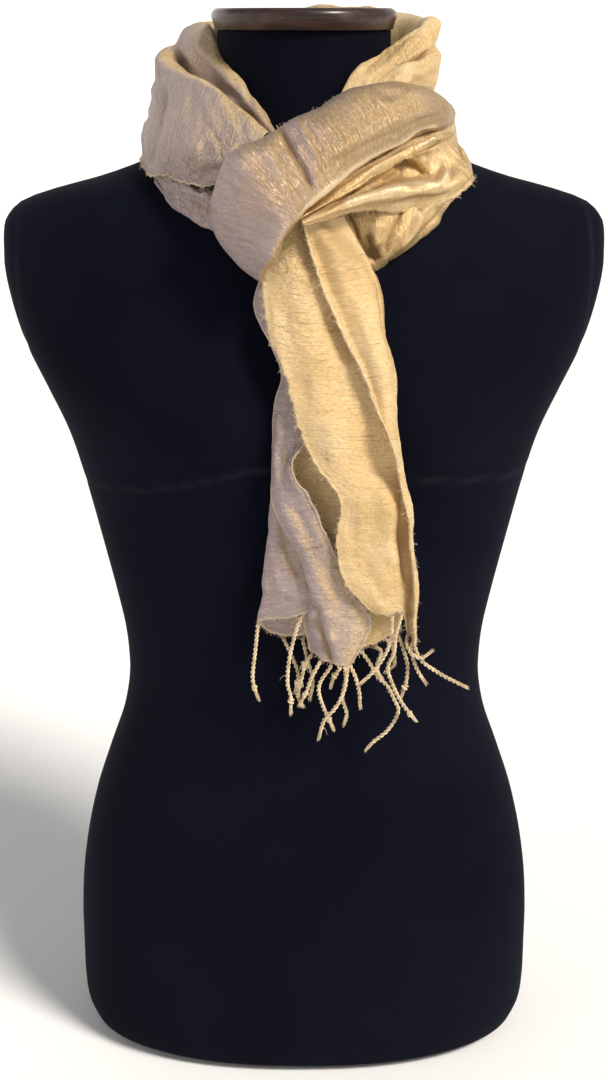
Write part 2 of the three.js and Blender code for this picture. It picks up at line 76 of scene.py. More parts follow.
class Nodes:
    def __init__(self, tree):
        self.tree = tree

    def node(self, kind, settings=None, values=None, out=0):
        made = self.tree.nodes.new(kind)
        for key, value in (settings or {}).items():
            setattr(made, key, value)
        for key, value in (values or {}).items():
            if isinstance(value, Sock):
                self.tree.links.new(value.out, made.inputs[key])
            elif isinstance(value, list):
                for each in value:
                    self.tree.links.new(each.out, made.inputs[key])
            else:
                made.inputs[key].default_value = value
        return Sock(self, made.outputs[out])

    def maths(self, operation, *values):
        return self.node("ShaderNodeMath", {"operation": operation}, dict(enumerate(values)))

    def mix(self, factor, a, b):
        return self.node("ShaderNodeMix", {"data_type": "RGBA"}, {0: factor, 6: a, 7: b}, 2)

    def noise(self, vector, scale, detail=2.0, rough=0.5, stretch=(1, 1, 1), shift=(0, 0, 0)):
        moved = self.node("ShaderNodeMapping", None, {0: vector, 1: shift, 3: stretch})
        return self.node("ShaderNodeTexNoise", None, {0: moved, 2: scale, 3: detail, 4: rough})

    def band(self, value, low, high, a=0.0, b=1.0):
        settings = {"interpolation_type": "SMOOTHSTEP"}
        return self.node("ShaderNodeMapRange", settings, {0: value, 1: low, 2: high, 3: a, 4: b})


class Shader(Nodes):
    def __init__(self, name):
        self.material = bpy.data.materials.new(name)
        self.material.use_nodes = True
        super().__init__(self.material.node_tree)
        self.tree.nodes.clear()

    def attribute(self, label):
        return self.node("ShaderNodeAttribute", {"attribute_name": label}, None, 2)

    def place(self):
        return self.node("ShaderNodeTexCoord", None, None, 3)

    def finish(self, values, bumps=()):
        normal = None
        for height, distance, strength in bumps:
            sockets = {0: strength, 1: distance, "Height": height}
            if normal is not None:
                sockets["Normal"] = normal
            normal = self.node("ShaderNodeBump", None, sockets)
        if normal is not None:
            values["Normal"] = normal
        skin = self.node("ShaderNodeBsdfPrincipled", None, values)
        output = self.tree.nodes.new("ShaderNodeOutputMaterial")
        self.tree.links.new(skin.out, output.inputs[0])
        return self.material


class Geo(Nodes):
    def __init__(self, name, inputs):
        super().__init__(bpy.data.node_groups.new(name, "GeometryNodeTree"))
        face = self.tree.interface
        face.new_socket("Geometry", in_out="INPUT", socket_type="NodeSocketGeometry")
        face.new_socket("Geometry", in_out="OUTPUT", socket_type="NodeSocketGeometry")
        self.ids = {}
        for label, kind in inputs.items():
            made = face.new_socket(label, in_out="INPUT", socket_type="NodeSocket" + kind)
            self.ids[label] = made.identifier
        self.start = self.tree.nodes.new("NodeGroupInput")
        self.end = self.tree.nodes.new("NodeGroupOutput")

    def given(self, label):
        return Sock(self, self.start.outputs[label])

    def finish(self, geometry):
        whole = self.node("GeometryNodeRealizeInstances", None, {0: geometry})
        smooth = self.node("GeometryNodeSetShadeSmooth", None, {0: whole, 2: True})
        painted = self.node("GeometryNodeSetMaterial", None, {0: smooth, 2: self.given("Material")})
        self.tree.links.new(painted.out, self.end.inputs[0])
        return self

    def run(self, source, name, values):
        change = source.modifiers.new(self.tree.name, "NODES")
        change.node_group = self.tree
        for label, value in values.items():
            change[self.ids[label]] = value
        graph = bpy.context.evaluated_depsgraph_get()
        graph.update()
        mesh = bpy.data.meshes.new_from_object(source.evaluated_get(graph), depsgraph=graph)
        bpy.data.objects.remove(source)
        mesh.name = name
        return placed(name, mesh)


def placed(name, data):
    made = bpy.data.objects.new(name, data)
    bpy.context.scene.collection.objects.link(made)
    return made


def surface(name, points, faces, material):
    # quads and triangles are shaded smooth, the flat many-sided ends aren't
    mesh = bpy.data.meshes.new(name)
    mesh.from_pydata(points, [], faces)
    mesh.polygons.foreach_set("use_smooth", [len(p.vertices) < 5 for p in mesh.polygons])
    mesh.materials.append(material)
    return mesh


def spline(points, places):
    # centripetal curve through points, read at places from 0 to 1: the solids' own curve
    points = np.asarray(points, float)
    last = len(points) - 1
    before = 2 * points[0] - points[1]
    after = 2 * points[-1] - points[-2]
    padded = np.vstack([before, points, after])
    at = np.clip(np.asarray(places) * last, 0, last)
    k = np.minimum(at.astype(int), last - 1)
    w = (at - k)[:, None]
    p0, p1, p2, p3 = (padded[k + i] for i in range(4))
    gap = [np.sqrt(np.linalg.norm(b - a, axis=1))[:, None] for a, b in ((p0, p1), (p1, p2), (p2, p3))]
    gap[1] = np.where(gap[1] < 1e-4, 1.0, gap[1])
    gap[0] = np.where(gap[0] < 1e-4, gap[1], gap[0])
    gap[2] = np.where(gap[2] < 1e-4, gap[1], gap[2])
    t1 = ((p1 - p0) / gap[0] - (p2 - p0) / (gap[0] + gap[1]) + (p2 - p1) / gap[1]) * gap[1]
    t2 = ((p2 - p1) / gap[1] - (p3 - p1) / (gap[1] + gap[2]) + (p3 - p2) / gap[2]) * gap[1]
    return p1 + t1 * w + (3 * (p2 - p1) - 2 * t1 - t2) * w**2 + (2 * (p1 - p2) + t1 + t2) * w**3


def smoothed(places, values, wanted):
    # smooth curve through values at places, without overshoot
    slope = np.gradient(values, places)
    k = np.clip(np.searchsorted(places, wanted, side="right") - 1, 0, len(places) - 2)
    step = places[k + 1] - places[k]
    t = np.clip((wanted - places[k]) / step, 0, 1)
    a, b = values[k], values[k + 1]
    rise = (b - a) / step
    m0 = np.where(slope[k] * rise <= 0, 0, np.clip(slope[k], -3 * abs(rise), 3 * abs(rise)))
    m1 = np.where(slope[k + 1] * rise <= 0, 0, np.clip(slope[k + 1], -3 * abs(rise), 3 * abs(rise)))
    h = t * t * (3 - 2 * t)
    return a + (b - a) * h + step * (m0 * t * (1 - t) ** 2 - m1 * t * t * (1 - t))


def loft(table, along, across):
    # a grid of points in mm: one row for each step along the stretch
    sections = np.array(list(table["rows"].values()), float)
    down, over = np.linspace(0, 1, along + 1), np.linspace(0, 1, across + 1)
    lines = [spline(sections[:, k], down) for k in range(sections.shape[1])]
    return np.array([spline([line[j] for line in lines], over) for j in range(along + 1)])


def facing(grid):
    # unit normals of a grid, turned away from the neck's axis
    over, down = np.gradient(grid, axis=1), np.gradient(grid, axis=0)
    found = np.cross(over, down)
    found /= np.linalg.norm(found, axis=2, keepdims=True) + 1e-9
    outward = grid * [1, 1, 0]
    return found if (found * outward).sum() > 0 else -found


def swell(uv, seed, size, parts=14):
    # soft uneven swelling: a sum of waves about size mm long, running all ways
    maker = np.random.default_rng(seed)
    total = np.zeros(uv.shape[:-1])
    for _ in range(parts):
        turn, phase = maker.uniform(0, fullTurn, 2)
        long = size * maker.uniform(0.7, 1.6)
        total += np.sin(fullTurn / long * (uv[..., 0] * math.cos(turn) + uv[..., 1] * math.sin(turn)) + phase)
    return total / math.sqrt(parts)


def ragged(places, seed, long, short):
    # the waves of a raw edge: long and short ones, in mm along it
    run = np.stack([places, places * 0], -1)
    return swell(run, seed, long, 9) * 0.5 + swell(run, seed + 1, short, 9) * 0.3


def lineDistance(points, line):
    # how far each point is from a polyline, and how far along it the nearest place is, from 0 to 1
    steps = np.linalg.norm(np.diff(line, axis=0), axis=1)
    reached = np.concatenate([[0], np.cumsum(steps)])
    best = np.full(points.shape[:-1], 1e9)
    place = np.zeros(points.shape[:-1])
    for a, b, start, step in zip(line[:-1], line[1:], reached, steps):
        t = np.clip(((points - a) @ (b - a)) / max(step * step, 1e-9), 0, 1)
        d = np.linalg.norm(points - (a + t[..., None] * (b - a)), axis=-1)
        nearer = d < best
        best = np.where(nearer, d, best)
        place = np.where(nearer, (start + t * step) / reached[-1], place)
    return best, place


def pick(grid, u, v):
    # the grid's point at shares u across and v along
    rows, wide = grid.shape[0] - 1, grid.shape[1] - 1
    x, y = min(max(u, 0), 1) * wide, min(max(v, 0), 1) * rows
    i, j = min(int(x), wide - 1), min(int(y), rows - 1)
    a, b = x - i, y - j
    top = grid[j, i] * (1 - a) + grid[j, i + 1] * a
    low = grid[j + 1, i] * (1 - a) + grid[j + 1, i + 1] * a
    return top * (1 - b) + low * b


def spot(grid, at, size):
    # a soft round patch, 1 at its middle
    return np.exp(-((np.linalg.norm(grid - pick(grid, *at), axis=2) / size) ** 2))


creaseUsual = {"kind": "soft", "fade": 0.25, "ends": 0.0}  # fade is the share of its length that dies away
narrowest = 3.2  # mm, the width up to which a crease gets its full painted shade


def creased(grid, creases):
    # each crease is its width and depth in mm, then its (u, v) places; a plus depth stands out
    height, creaseShade = np.zeros(grid.shape[:2]), np.zeros(grid.shape[:2])
    for width, deep, at, *more in creases:
        how = creaseUsual | (more[0] if more else {})
        path = np.array([pick(grid, u, v) for u, v in at])
        line = spline(path, np.linspace(0, 1, 8 * len(path)))
        d, place = lineDistance(grid, line)
        ends = np.clip(np.minimum(place, 1 - place) / how["fade"] + how["ends"], 0, 1)
        ends = ends * ends * (3 - 2 * ends)
        wide = width * (0.75 + 0.5 * swell(np.stack([place, place * 0], -1), len(path), 0.6, 3) ** 2)
        if how["kind"] == "pinch":
            shape = np.exp(-((d / wide) ** 2)) - 0.5 * np.exp(-(((d - 1.9 * wide) / wide) ** 2))
        elif how["kind"] == "sharp":
            shape = np.exp(-d / wide)
        else:
            shape = np.exp(-((d / wide) ** 2))
        height += deep * shape * ends
        # painted crease shade: how much each crease darkens the colour
        creaseShade += deep * shape * ends * min(1, (narrowest / width) ** 2)
    return height, creaseShade


def crinkled(grid, uv, patches):
    # small sharp crinkles in soft round patches: place, size and grain in mm, height in mm
    height, crushed = np.zeros(grid.shape[:2]), np.zeros(grid.shape[:2])
    for k, (at, wide, grain, amount) in enumerate(patches):
        near = np.exp(-((np.linalg.norm(grid - pick(grid, *at), axis=2) / wide) ** 2) * 1.2)
        fine = 1 - np.abs(swell(uv, 500 + k, grain, 10)) * 1.4
        height += amount * near * fine
        crushed = np.maximum(crushed, near * min(1, amount / 0.4))
    return height, crushed


def pulled(grid, places, edge, inner, reach, shift):
    # moves the cloth beside one edge outwards by shift mm, fading over reach mm
    away = grid[:, edge] - grid[:, inner]
    away /= np.linalg.norm(away, axis=1, keepdims=True)
    near = np.exp(-((np.abs(places - places[edge]) / reach) ** 2))
    return grid + near[None, :, None] * shift[:, None, None] * away[:, None, :]


clothSettings = {
    "large": 50000,  # square mm, from which a stretch takes the wider spacing
    "spacing": 1.4,  # mm between its points
    "fine": 1.0,  # mm, of every smaller stretch
    "thick": 1.0,  # mm, a doubled silk wall
    "calm": 12,  # mm from each end within which the swelling dies down
    "swell": [(34, 0.5), (11, 0.16)],  # mm long and high
    "roll": {"wide": 1.3, "dip": 0.45, "dipAt": 3.2, "dipWide": 1.4},  # the bead along a rolled edge
    "rawReach": 3.0,  # mm from a raw edge that its waves move
    "liftReach": 16.0,
    "hairOff": 0.4,  # mm that a hairy line stands off its fold
}
selvedges = []  # edges that are raw or woven ends, for the stray threads


def clothMesh(name, grid, uv, tone, material):
    rows, wide = grid.shape[:2]
    index = np.arange(rows * wide).reshape(rows, wide)
    quads = np.stack([index[:-1, :-1], index[:-1, 1:], index[1:, 1:], index[1:, :-1]], -1).reshape(-1, 4)
    mesh = surface(name, (grid.reshape(-1, 3) * mm).tolist(), quads.tolist(), material)
    corners = np.empty(len(mesh.loops), int)
    mesh.loops.foreach_get("vertex_index", corners)
    layer = mesh.uv_layers.new(name="cloth")
    layer.data.foreach_set("uv", (uv.reshape(-1, 2)[corners] * mm).ravel())
    for label, values in tone.items():
        mesh.attributes.new(label, "FLOAT", "POINT").data.foreach_set("value", values.ravel())
    made = placed(name, mesh)
    wall = made.modifiers.new("wall", "SOLIDIFY")
    wall.thickness = clothSettings["thick"] * mm
    wall.offset = 0
    wall.use_even_offset = False
    return made


def relief(grid, u, v, uv, settings):
    # how far each point stands off the lofted cloth, then the painted shade of its thin creases alone, and
    # its crinkles alone
    height, creaseShade = creased(grid, settings.get("creases", []))
    small, crushed = crinkled(grid, uv, settings.get("rough", []))
    height += small
    for size, amount in settings.get("swell", clothSettings["swell"]):
        calm = np.clip(np.minimum(v, v[-1] - v) / clothSettings["calm"], 0, 1)[:, None]
        height += amount * swell(uv, settings["seed"] + int(size), size) * (0.4 + 0.6 * calm)
    bead = clothSettings["roll"]
    for side, amount in settings.get("roll", {}).items():
        off = np.abs(u - u[0 if side == "start" else -1])[None, :]
        dip = bead["dip"] * np.exp(-(((off - bead["dipAt"]) / bead["dipWide"]) ** 2))
        height += amount * (np.exp(-((off / bead["wide"]) ** 2)) - dip)
    return height, creaseShade, crushed


def frilled(grid, u, v, settings):
    # the waves of the raw sides and hem, and the uneven lift of the collar's hem
    seed, reach = settings["seed"], clothSettings["rawReach"]
    for side, column, inner in (("start", 0, 3), ("end", -1, -4)):
        wave = settings.get("wavy", {}).get(side, 0)
        if wave:
            grid = pulled(grid, u, column, inner, reach, wave * ragged(v, seed + 5, 9, 3.2))
    if settings.get("lift"):
        uneven = swell(np.stack([v, v * 0], -1), seed + 9, 48, 6)
        shift = -settings["lift"] * np.clip(0.5 + 0.45 * uneven, 0, 1.3)
        grid = pulled(grid, u, -1, -6, clothSettings["liftReach"], shift)
    if settings.get("hemWavy"):
        shift = settings["hemWavy"] * ragged(u, seed + 7, 8, 3)
        grid = pulled(grid.swapaxes(0, 1), v, -1, -4, reach, shift).swapaxes(0, 1)
    return grid


def stretch(name, table, nodes, settings, material):
    draft = loft(table, 40, 30)
    long = np.linalg.norm(np.diff(draft, axis=0), axis=2).sum(0).mean()
    wide = np.linalg.norm(np.diff(draft, axis=1), axis=2).sum(1).mean()
    spacing = clothSettings["spacing" if long * wide > clothSettings["large"] else "fine"]
    along, across = int(long / spacing), int(wide / spacing)
    grid = loft(table, along, across)
    normal = facing(grid)
    steps = np.linalg.norm(np.diff(grid, axis=1), axis=2).mean(0)
    u = np.concatenate([[0], np.cumsum(steps)])
    steps = np.linalg.norm(np.diff(grid, axis=0), axis=2).mean(1)
    v = np.concatenate([[0], np.cumsum(steps)])
    uv = np.stack(np.broadcast_arrays(u[None, :], v[:, None]), -1).astype(float)
    height, creaseShade, crushed = relief(grid, u, v, uv, settings)
    turn = np.ones(grid.shape[:2])
    if settings.get("turned"):
        outward = (normal * grid * [1, 1, 0]).sum(-1) / np.linalg.norm(grid[..., :2], axis=-1)
        turn = np.clip(5 * outward, -1, 1)
    grid = frilled(grid + normal * (height * turn)[..., None], u, v, settings)
    edge = np.minimum(u, u[-1] - u)[None, :] + 0 * v[:, None]
    if "hem" in settings.get("raw", []):
        edge = np.minimum(edge, (v[-1] - v)[:, None])
    shaped = facing(grid) * turn[..., None]
    # the mauve tint grows on the sides that face away from the key light (towards -x and down): painted shade
    # over the mauve thread; the golden spots thin it out in patches
    mauveShade = np.clip(settings.get("mauveShade", 0.42) - 1.1 * shaped[..., 0] - 0.1 * shaped[..., 2], 0, 1)
    low, high = settings.get("mauve", (0.1, 0.5))
    for at, size, amount in settings.get("golden", []):
        mauveShade = mauveShade * (1 - amount * spot(grid, at, size))
    # painted shadow: dark patches where the cloth lies in shade
    shaded = np.zeros(grid.shape[:2])
    for at, size, amount in settings.get("worn", []):
        shaded += amount * spot(grid, at, size)
    # hollow: painted shade in the creases (negative on the crests, which get a painted highlight); deep:
    # painted shadow
    tone = {
        "mauve": low + (high - low) * mauveShade,
        "edge": edge,
        "hollow": np.clip(-creaseShade / 4.0, -1, 1),
        "deep": np.clip(settings.get("deep", 0.0) + shaded, 0, 0.9),
        "crushed": np.clip(crushed + settings.get("crushed", 0.25), 0, 1),
    }
    made = clothMesh(name, grid, uv, tone, material)
    for which in settings.get("raw", []):
        line = {"start": grid[:, 0], "end": grid[:, -1], "hem": grid[-1]}[which]
        selvedges.append((name, line, settings.get("fray", 1.0)))
    for share, begin, end in settings.get("hairy", []):
        rows, column = slice(int(begin * along), int(end * along)), int(share * across)
        line = grid[rows, column] + clothSettings["hairOff"] * normal[rows, column]
        selvedges.append((name, line, 0.8))
    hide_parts(*nodes)
    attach(made, "root")
    print(f"{name}: {along} by {across}, {wide:.0f} by {long:.0f} mm")
    return made, (wide * mm, long * mm), grid


# the silk: a shot cloth of gold and mauve thread, with slubs that run across it; the mauve is laid on thicker
# on the sides turned from the key light, as painted shade
silkLook = {
    "gold": (0.66, 0.445, 0.195, 1),
    "pale": (0.86, 0.675, 0.42, 1),
    "bronze": (0.27, 0.160, 0.070, 1),
    "mauve": (0.375, 0.30, 0.315, 1),
    "slub": (0.25, 0.165, 0.085, 1),
    "brown": (0.34, 0.215, 0.108, 1),
    "shadow": (0.10, 0.055, 0.025, 1),
    "warmLight": (0.90, 0.60, 0.24, 1),
    "weftPitch": 0.62,  # mm
    "warpPitch": 0.48,
}


def silk(name, gloss, metal, warmLight=0.0, slubs=1.0, brown=0.0, ridge=0.15):
    s = Shader(name)
    uv = s.node("ShaderNodeUVMap", {"uv_map": "cloth"})
    across = s.node("ShaderNodeSeparateXYZ", None, {0: uv})
    along = Sock(s, across.out.node.outputs[1])
    labels = ("mauve", "edge", "hollow", "deep", "crushed")
    mauve, edge, hollow, deep, crushed = (s.attribute(label) for label in labels)
    cloud = s.noise(uv, 24, 3, 0.6, (1, 0.8, 1))
    streak = s.noise(uv, 60, 3, 0.6, (0.9, 9, 1))
    slub = s.noise(uv, 34, 2, 0.5, (1.6, 21, 1), (3.1, 7.7, 0))
    fleck = s.noise(uv, 190, 2, 0.5, (0.8, 5.5, 1), (1.3, 2.9, 0))
    glint = s.noise(uv, 500, 2, 0.6, (0.8, 1.7, 1), (5.3, 0.9, 0))
    grain = s.noise(uv, 900, 3, 0.7, (0.6, 1, 1))
    fold = s.noise(uv, 85, 2, 0.5, (1, 1, 1), (2.2, 8.1, 0)) - 0.5
    small = s.noise(uv, 210, 2, 0.5, (1, 1.3, 1), (6.2, 1.1, 0)) - 0.5
    wrinkle, crumple = s.maths("ABSOLUTE", fold), s.maths("ABSOLUTE", small)
    colour = s.mix(s.band(cloud, 0.32, 0.7), silkLook["gold"], silkLook["pale"])
    if brown:
        colour = s.mix(brown, colour, silkLook["brown"])
    # the mauve thread, and painted shade on the sides turned from the key light
    colour = s.mix(s.band(mauve, 0.05, 0.95), colour, silkLook["mauve"])
    colour = s.mix(s.band(streak, 0.45, 0.8, 0, 0.3), colour, silkLook["pale"])
    colour = s.mix(s.band(streak, 0.5, 0.25, 0, 0.3), colour, silkLook["bronze"])
    lively = s.band(mauve, 0.2, 0.9, 1.0, 0.35)
    colour = s.mix(s.band(glint, 0.52, 0.68, 0, 0.62) * lively, colour, silkLook["pale"])
    colour = s.mix(s.band(glint, 0.47, 0.32, 0, 0.5) * lively, colour, silkLook["bronze"])
    colour = s.mix(s.band(slub, 0.65, 0.73, 0, 0.55 * slubs), colour, silkLook["slub"])
    colour = s.mix(s.band(fleck, 0.64, 0.76, 0, 0.55 * slubs), colour, silkLook["slub"])
    colour = s.mix(s.band(grain, 0.4, 0.75, 0, 0.3), colour, silkLook["bronze"])
    # painted shade in the creases: bronze, and near-black in the deepest
    colour = s.mix(s.band(hollow, 0.04, 0.45, 0, 0.62), colour, silkLook["bronze"])
    colour = s.mix(s.band(hollow, 0.45, 1.0, 0, 0.7), colour, silkLook["shadow"])
    # painted shade in the small wrinkles of crushed patches
    colour = s.mix(s.band(wrinkle, 0.05, 0.0, 0, 0.32) * crushed, colour, silkLook["bronze"])
    # painted shadow from the shade patches, and a piece's deep darkening
    colour = s.mix(deep, colour, silkLook["bronze"])
    # painted warm light
    if warmLight:
        colour = s.mix(warmLight, colour, silkLook["warmLight"])
    # painted highlight on the crests of the relief, weaker where the mauve painted shade is strong
    crest = s.band(hollow, -0.22, -0.55, 0, ridge) * s.band(mauve, 0.75, 0.3, 0.35, 1.0)
    colour = s.mix(crest, colour, silkLook["pale"])
    colour = s.mix(s.band(edge, 0.3, 1.7, 0.6, 0.0), colour, silkLook["pale"])
    weft = s.maths("SINE", along * (2000 * math.pi / silkLook["weftPitch"]) + streak * 9.0)
    warp = s.maths("SINE", across * (2000 * math.pi / silkLook["warpPitch"]))
    weave = weft * 0.4 + warp * 0.2 + grain * 1.3 + glint * 1.2
    thread = s.band(slub, 0.6, 0.75) * 0.8 + s.band(fleck, 0.6, 0.78) * 0.5 + streak * 0.8
    crease = (s.band(wrinkle, 0.0, 0.10) + s.band(crumple, 0.0, 0.12) * 0.6) * crushed
    rough = s.band(cloud, 0.3, 0.7, gloss - 0.05, gloss + 0.07) + s.band(grain, 0.3, 0.7, 0.0, 0.12)
    rough = rough - s.band(glint, 0.5, 0.7, 0.0, 0.1)
    values = {"Base Color": colour, "Metallic": metal, "Roughness": rough, "Specular IOR Level": 0.5}
    values |= {"Anisotropic": 0.3, "Sheen Weight": 0.08, "Sheen Roughness": 0.4}
    values |= {"Sheen Tint": (1.0, 0.94, 0.85, 1)}
    return s.finish(values, [(crease, 0.0012, 0.8), (thread, 0.0005, 0.6), (weave, 0.00022, 0.7)])


# the warm tint of the fold and warm silks is painted warm light, which makes the warm silk a lit copy of the
# raw silk
silkSoft = silk("rawSilk", gloss=0.46, metal=0.22, brown=0.08, ridge=0.4)
silkSatin = silk("satinSilk", gloss=0.32, metal=0.5, slubs=0.7, brown=0.66, ridge=0.8)
silkFold = silk("foldSilk", gloss=0.27, metal=0.6, warmLight=0.25, slubs=0.6, brown=0.16, ridge=0.6)
silkWarmLit = silk("warmSilk", gloss=0.46, metal=0.2, warmLight=0.3, slubs=1.2)
silkShade = silk("shadedSilk", gloss=0.48, metal=0.22, slubs=0.9, brown=0.25)

cordLook = {"light": (0.86, 0.70, 0.46, 1), "dark": (0.55, 0.40, 0.22, 1)}


def cordMaterial():
    s = Shader("silkCord")
    place = s.place()
    tone = s.noise(place, 120, 3, 0.6)
    fine = s.noise(place, 2600, 2, 0.6, (1, 1, 0.35))
    colour = s.mix(s.band(tone, 0.35, 0.7), cordLook["light"], cordLook["dark"])
    colour = s.mix(s.band(fine, 0.35, 0.7, 0, 0.4), colour, cordLook["dark"])
    rough = s.band(fine, 0.3, 0.7, 0.5, 0.68)
    values = {"Base Color": colour, "Roughness": rough, "Sheen Weight": 0.3, "Sheen Roughness": 0.5}
    return s.finish(values, [(fine, 0.0002, 0.6)])


cordSilk = cordMaterial()

jerseyLook = {
    "dark": (0.0018, 0.0023, 0.0066, 1),
    "light": (0.0034, 0.0041, 0.0100, 1),
    "knit": (0.007, 0.008, 0.013, 1),
    "lint": (0.04, 0.04, 0.05, 1),
    "seam": (0.012, 0.013, 0.020, 1),
    "sheen": (0.45, 0.6, 1, 1),
}


def jerseyMaterial():
    s = Shader("blackJersey")
    place = s.place()
    cloud = s.noise(place, 9, 3, 0.55)
    knit = s.noise(place, 1400, 2, 0.5, (1, 1, 0.55))
    lint = s.noise(place, 420, 1, 0.5, (1, 1, 1), (4, 2, 9))
    seam = s.attribute("seam")
    colour = s.mix(s.band(cloud, 0.3, 0.7), jerseyLook["dark"], jerseyLook["light"])
    colour = s.mix(s.band(knit, 0.45, 0.75, 0, 0.5), colour, jerseyLook["knit"])
    colour = s.mix(s.band(lint, 0.79, 0.86, 0, 0.3), colour, jerseyLook["lint"])
    colour = s.mix(seam * 0.8, colour, jerseyLook["seam"])
    rough = s.band(knit, 0.3, 0.7, 0.78, 0.92)
    values = {"Base Color": colour, "Roughness": rough, "Specular IOR Level": 0.05}
    values |= {"Sheen Weight": 0.008, "Sheen Roughness": 0.5, "Sheen Tint": jerseyLook["sheen"]}
    return s.finish(values, [(knit, 0.0004, 0.5)])


# the dress form: jersey pulled over a limbless body
formLook = {
    "round": 168,
    "step": 4.0,  # mm between rings
    "sections": [  # height, half width, front and back in mm, squareness
        (0, 146, 84, 96, 2.3), (3, 157, 93, 106, 2.3), (14, 167, 100, 115, 2.3), (40, 171, 104, 120, 2.3),
        (90, 171, 105, 124, 2.3), (124, 169, 104, 124, 2.3), (158, 164, 102, 120, 2.3),
        (192, 156, 99, 113, 2.3), (225, 145, 95, 104, 2.3), (257, 134, 91, 94, 2.3),
        (290, 129, 89, 86, 2.3), (321, 131, 90, 82, 2.3), (352, 137, 92, 82, 2.3),
        (383, 144, 95, 84, 2.3), (413, 151, 98, 87, 2.3), (443, 158, 102, 90, 2.4),
        (473, 167, 106, 94, 2.4), (502, 180, 107, 98, 2.4), (530, 193, 105, 101, 2.4),
        (559, 202, 101, 102, 2.4), (587, 207, 96, 100, 2.3), (605, 207, 91, 97, 2.2),
        (619, 203, 86, 93, 2.1), (629, 191, 82, 90, 2), (636, 170, 79, 88, 2), (643, 143, 76, 85, 2),
        (651, 119, 72, 81, 2), (661, 95, 67, 76, 2), (674, 75, 62, 69, 2), (690, 64, 58, 62, 2),
        (712, 59, 55, 58, 2), (739.7, 58, 54, 57, 2),
    ],
    "bust": {"apart": 82, "z": 500, "wide": 52, "high": 46, "out": 17},
    "top": 739.7,
    "seam": {"wide": 1.6, "deep": 0.9, "sideAt": 8, "sideTop": 560},
    "armhole": {"at": 190, "wide": 1.5, "low": 520},
    "bustSeam": [(-200, 432), (-150, 437), (-100, 445), (-40, 462), (0, 464), (40, 462), (100, 453),
        (150, 446), (200, 441)],
}


def dressForm():
    known = np.array(formLook["sections"], float)
    high = np.arange(3, formLook["top"], formLook["step"])
    high = np.concatenate([[0, 1.5], high, [formLook["top"]]])
    half, front, back, square = (smoothed(known[:, 0], known[:, k], high)[:, None] for k in range(1, 5))
    angle = np.linspace(0, fullTurn, formLook["round"], endpoint=False)
    c, d = np.cos(angle)[None, :], np.sin(angle)[None, :]
    x = np.sign(c) * np.abs(c) ** (2 / square) * half
    y = np.sign(d) * np.abs(d) ** (2 / square) * np.where(d < 0, front, back)
    z = high[:, None] + 0 * x
    b = formLook["bust"]
    for side in (-1, 1):
        lump = np.exp(-(((x - side * b["apart"]) / b["wide"]) ** 2) - ((z - b["z"]) / b["high"]) ** 2)
        y = y - np.where(d < 0, b["out"] * lump * np.minimum(1, -3 * d), 0)
    grid = np.stack([x, y, z], -1)
    sewn, hole = formLook["seam"], formLook["armhole"]
    line = np.array(formLook["bustSeam"], float)
    level = np.interp(x, line[:, 0], line[:, 1])
    seam = np.where(y < 20, np.exp(-(((z - level) / sewn["wide"]) ** 2)), 0)
    sideLine = np.exp(-(((y - sewn["sideAt"]) / sewn["wide"]) ** 2)) * (z < sewn["sideTop"])
    off = np.abs(x) - hole["at"] - 0.02 * (y - 5) ** 2 / 10
    armhole = np.exp(-((off / hole["wide"]) ** 2)) * (z > hole["low"])
    seam = np.maximum(np.maximum(seam, sideLine), armhole)
    away = (grid - grid.mean(1, keepdims=True)) * [1, 1, 0]
    away /= np.linalg.norm(away, axis=2, keepdims=True) + 1e-9
    grid = grid - away * (sewn["deep"] * seam)[..., None]
    rows, wide = x.shape
    index = np.arange(rows * wide).reshape(rows, wide)
    after = np.roll(index, -1, axis=1)
    faces = np.stack([index[:-1], after[:-1], after[1:], index[1:]], -1).reshape(-1, 4).tolist()
    faces += [index[0][::-1].tolist(), index[-1].tolist()]
    mesh = surface("dressForm", (grid.reshape(-1, 3) * mm).tolist(), faces, jerseyMaterial())
    mesh.attributes.new("seam", "FLOAT", "POINT").data.foreach_set("value", seam.ravel())
    made = placed("dressForm", mesh)
    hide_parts("dress_form")
    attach(made, "root")
    print("dress form:", rows, "rings")


capLook = {
    "wide": 124,
    "deep": 120,
    "thick": 14,
    "round": 5.0,
    "foot": [(3.2, 0), (2.4, 0.5)],  # mm in from the rim and up
    "flat": 8,  # mm in from the rim to where the top is flat
    "low": 740.0,
    "segments": 128,
    "dark": (0.020, 0.010, 0.009, 1),
    "light": (0.060, 0.027, 0.023, 1),
    "worn": (0.095, 0.046, 0.040, 1),
}


def capMaterial():
    s = Shader("lacqueredWood")
    place = s.place()
    grain = s.noise(place, 60, 4, 0.6, (0.25, 3.5, 3.5))
    cloud = s.noise(place, 30, 3, 0.5)
    colour = s.mix(s.band(grain, 0.35, 0.7), capLook["dark"], capLook["light"])
    colour = s.mix(s.band(cloud, 0.55, 0.75, 0, 0.4), colour, capLook["worn"])
    rough = s.band(cloud, 0.3, 0.7, 0.34, 0.5)
    values = {"Base Color": colour, "Roughness": rough, "Specular IOR Level": 0.3}
    values |= {"Coat Weight": 0.32, "Coat Roughness": 0.16}
    return s.finish(values, [(grain, 0.0006, 0.25)])


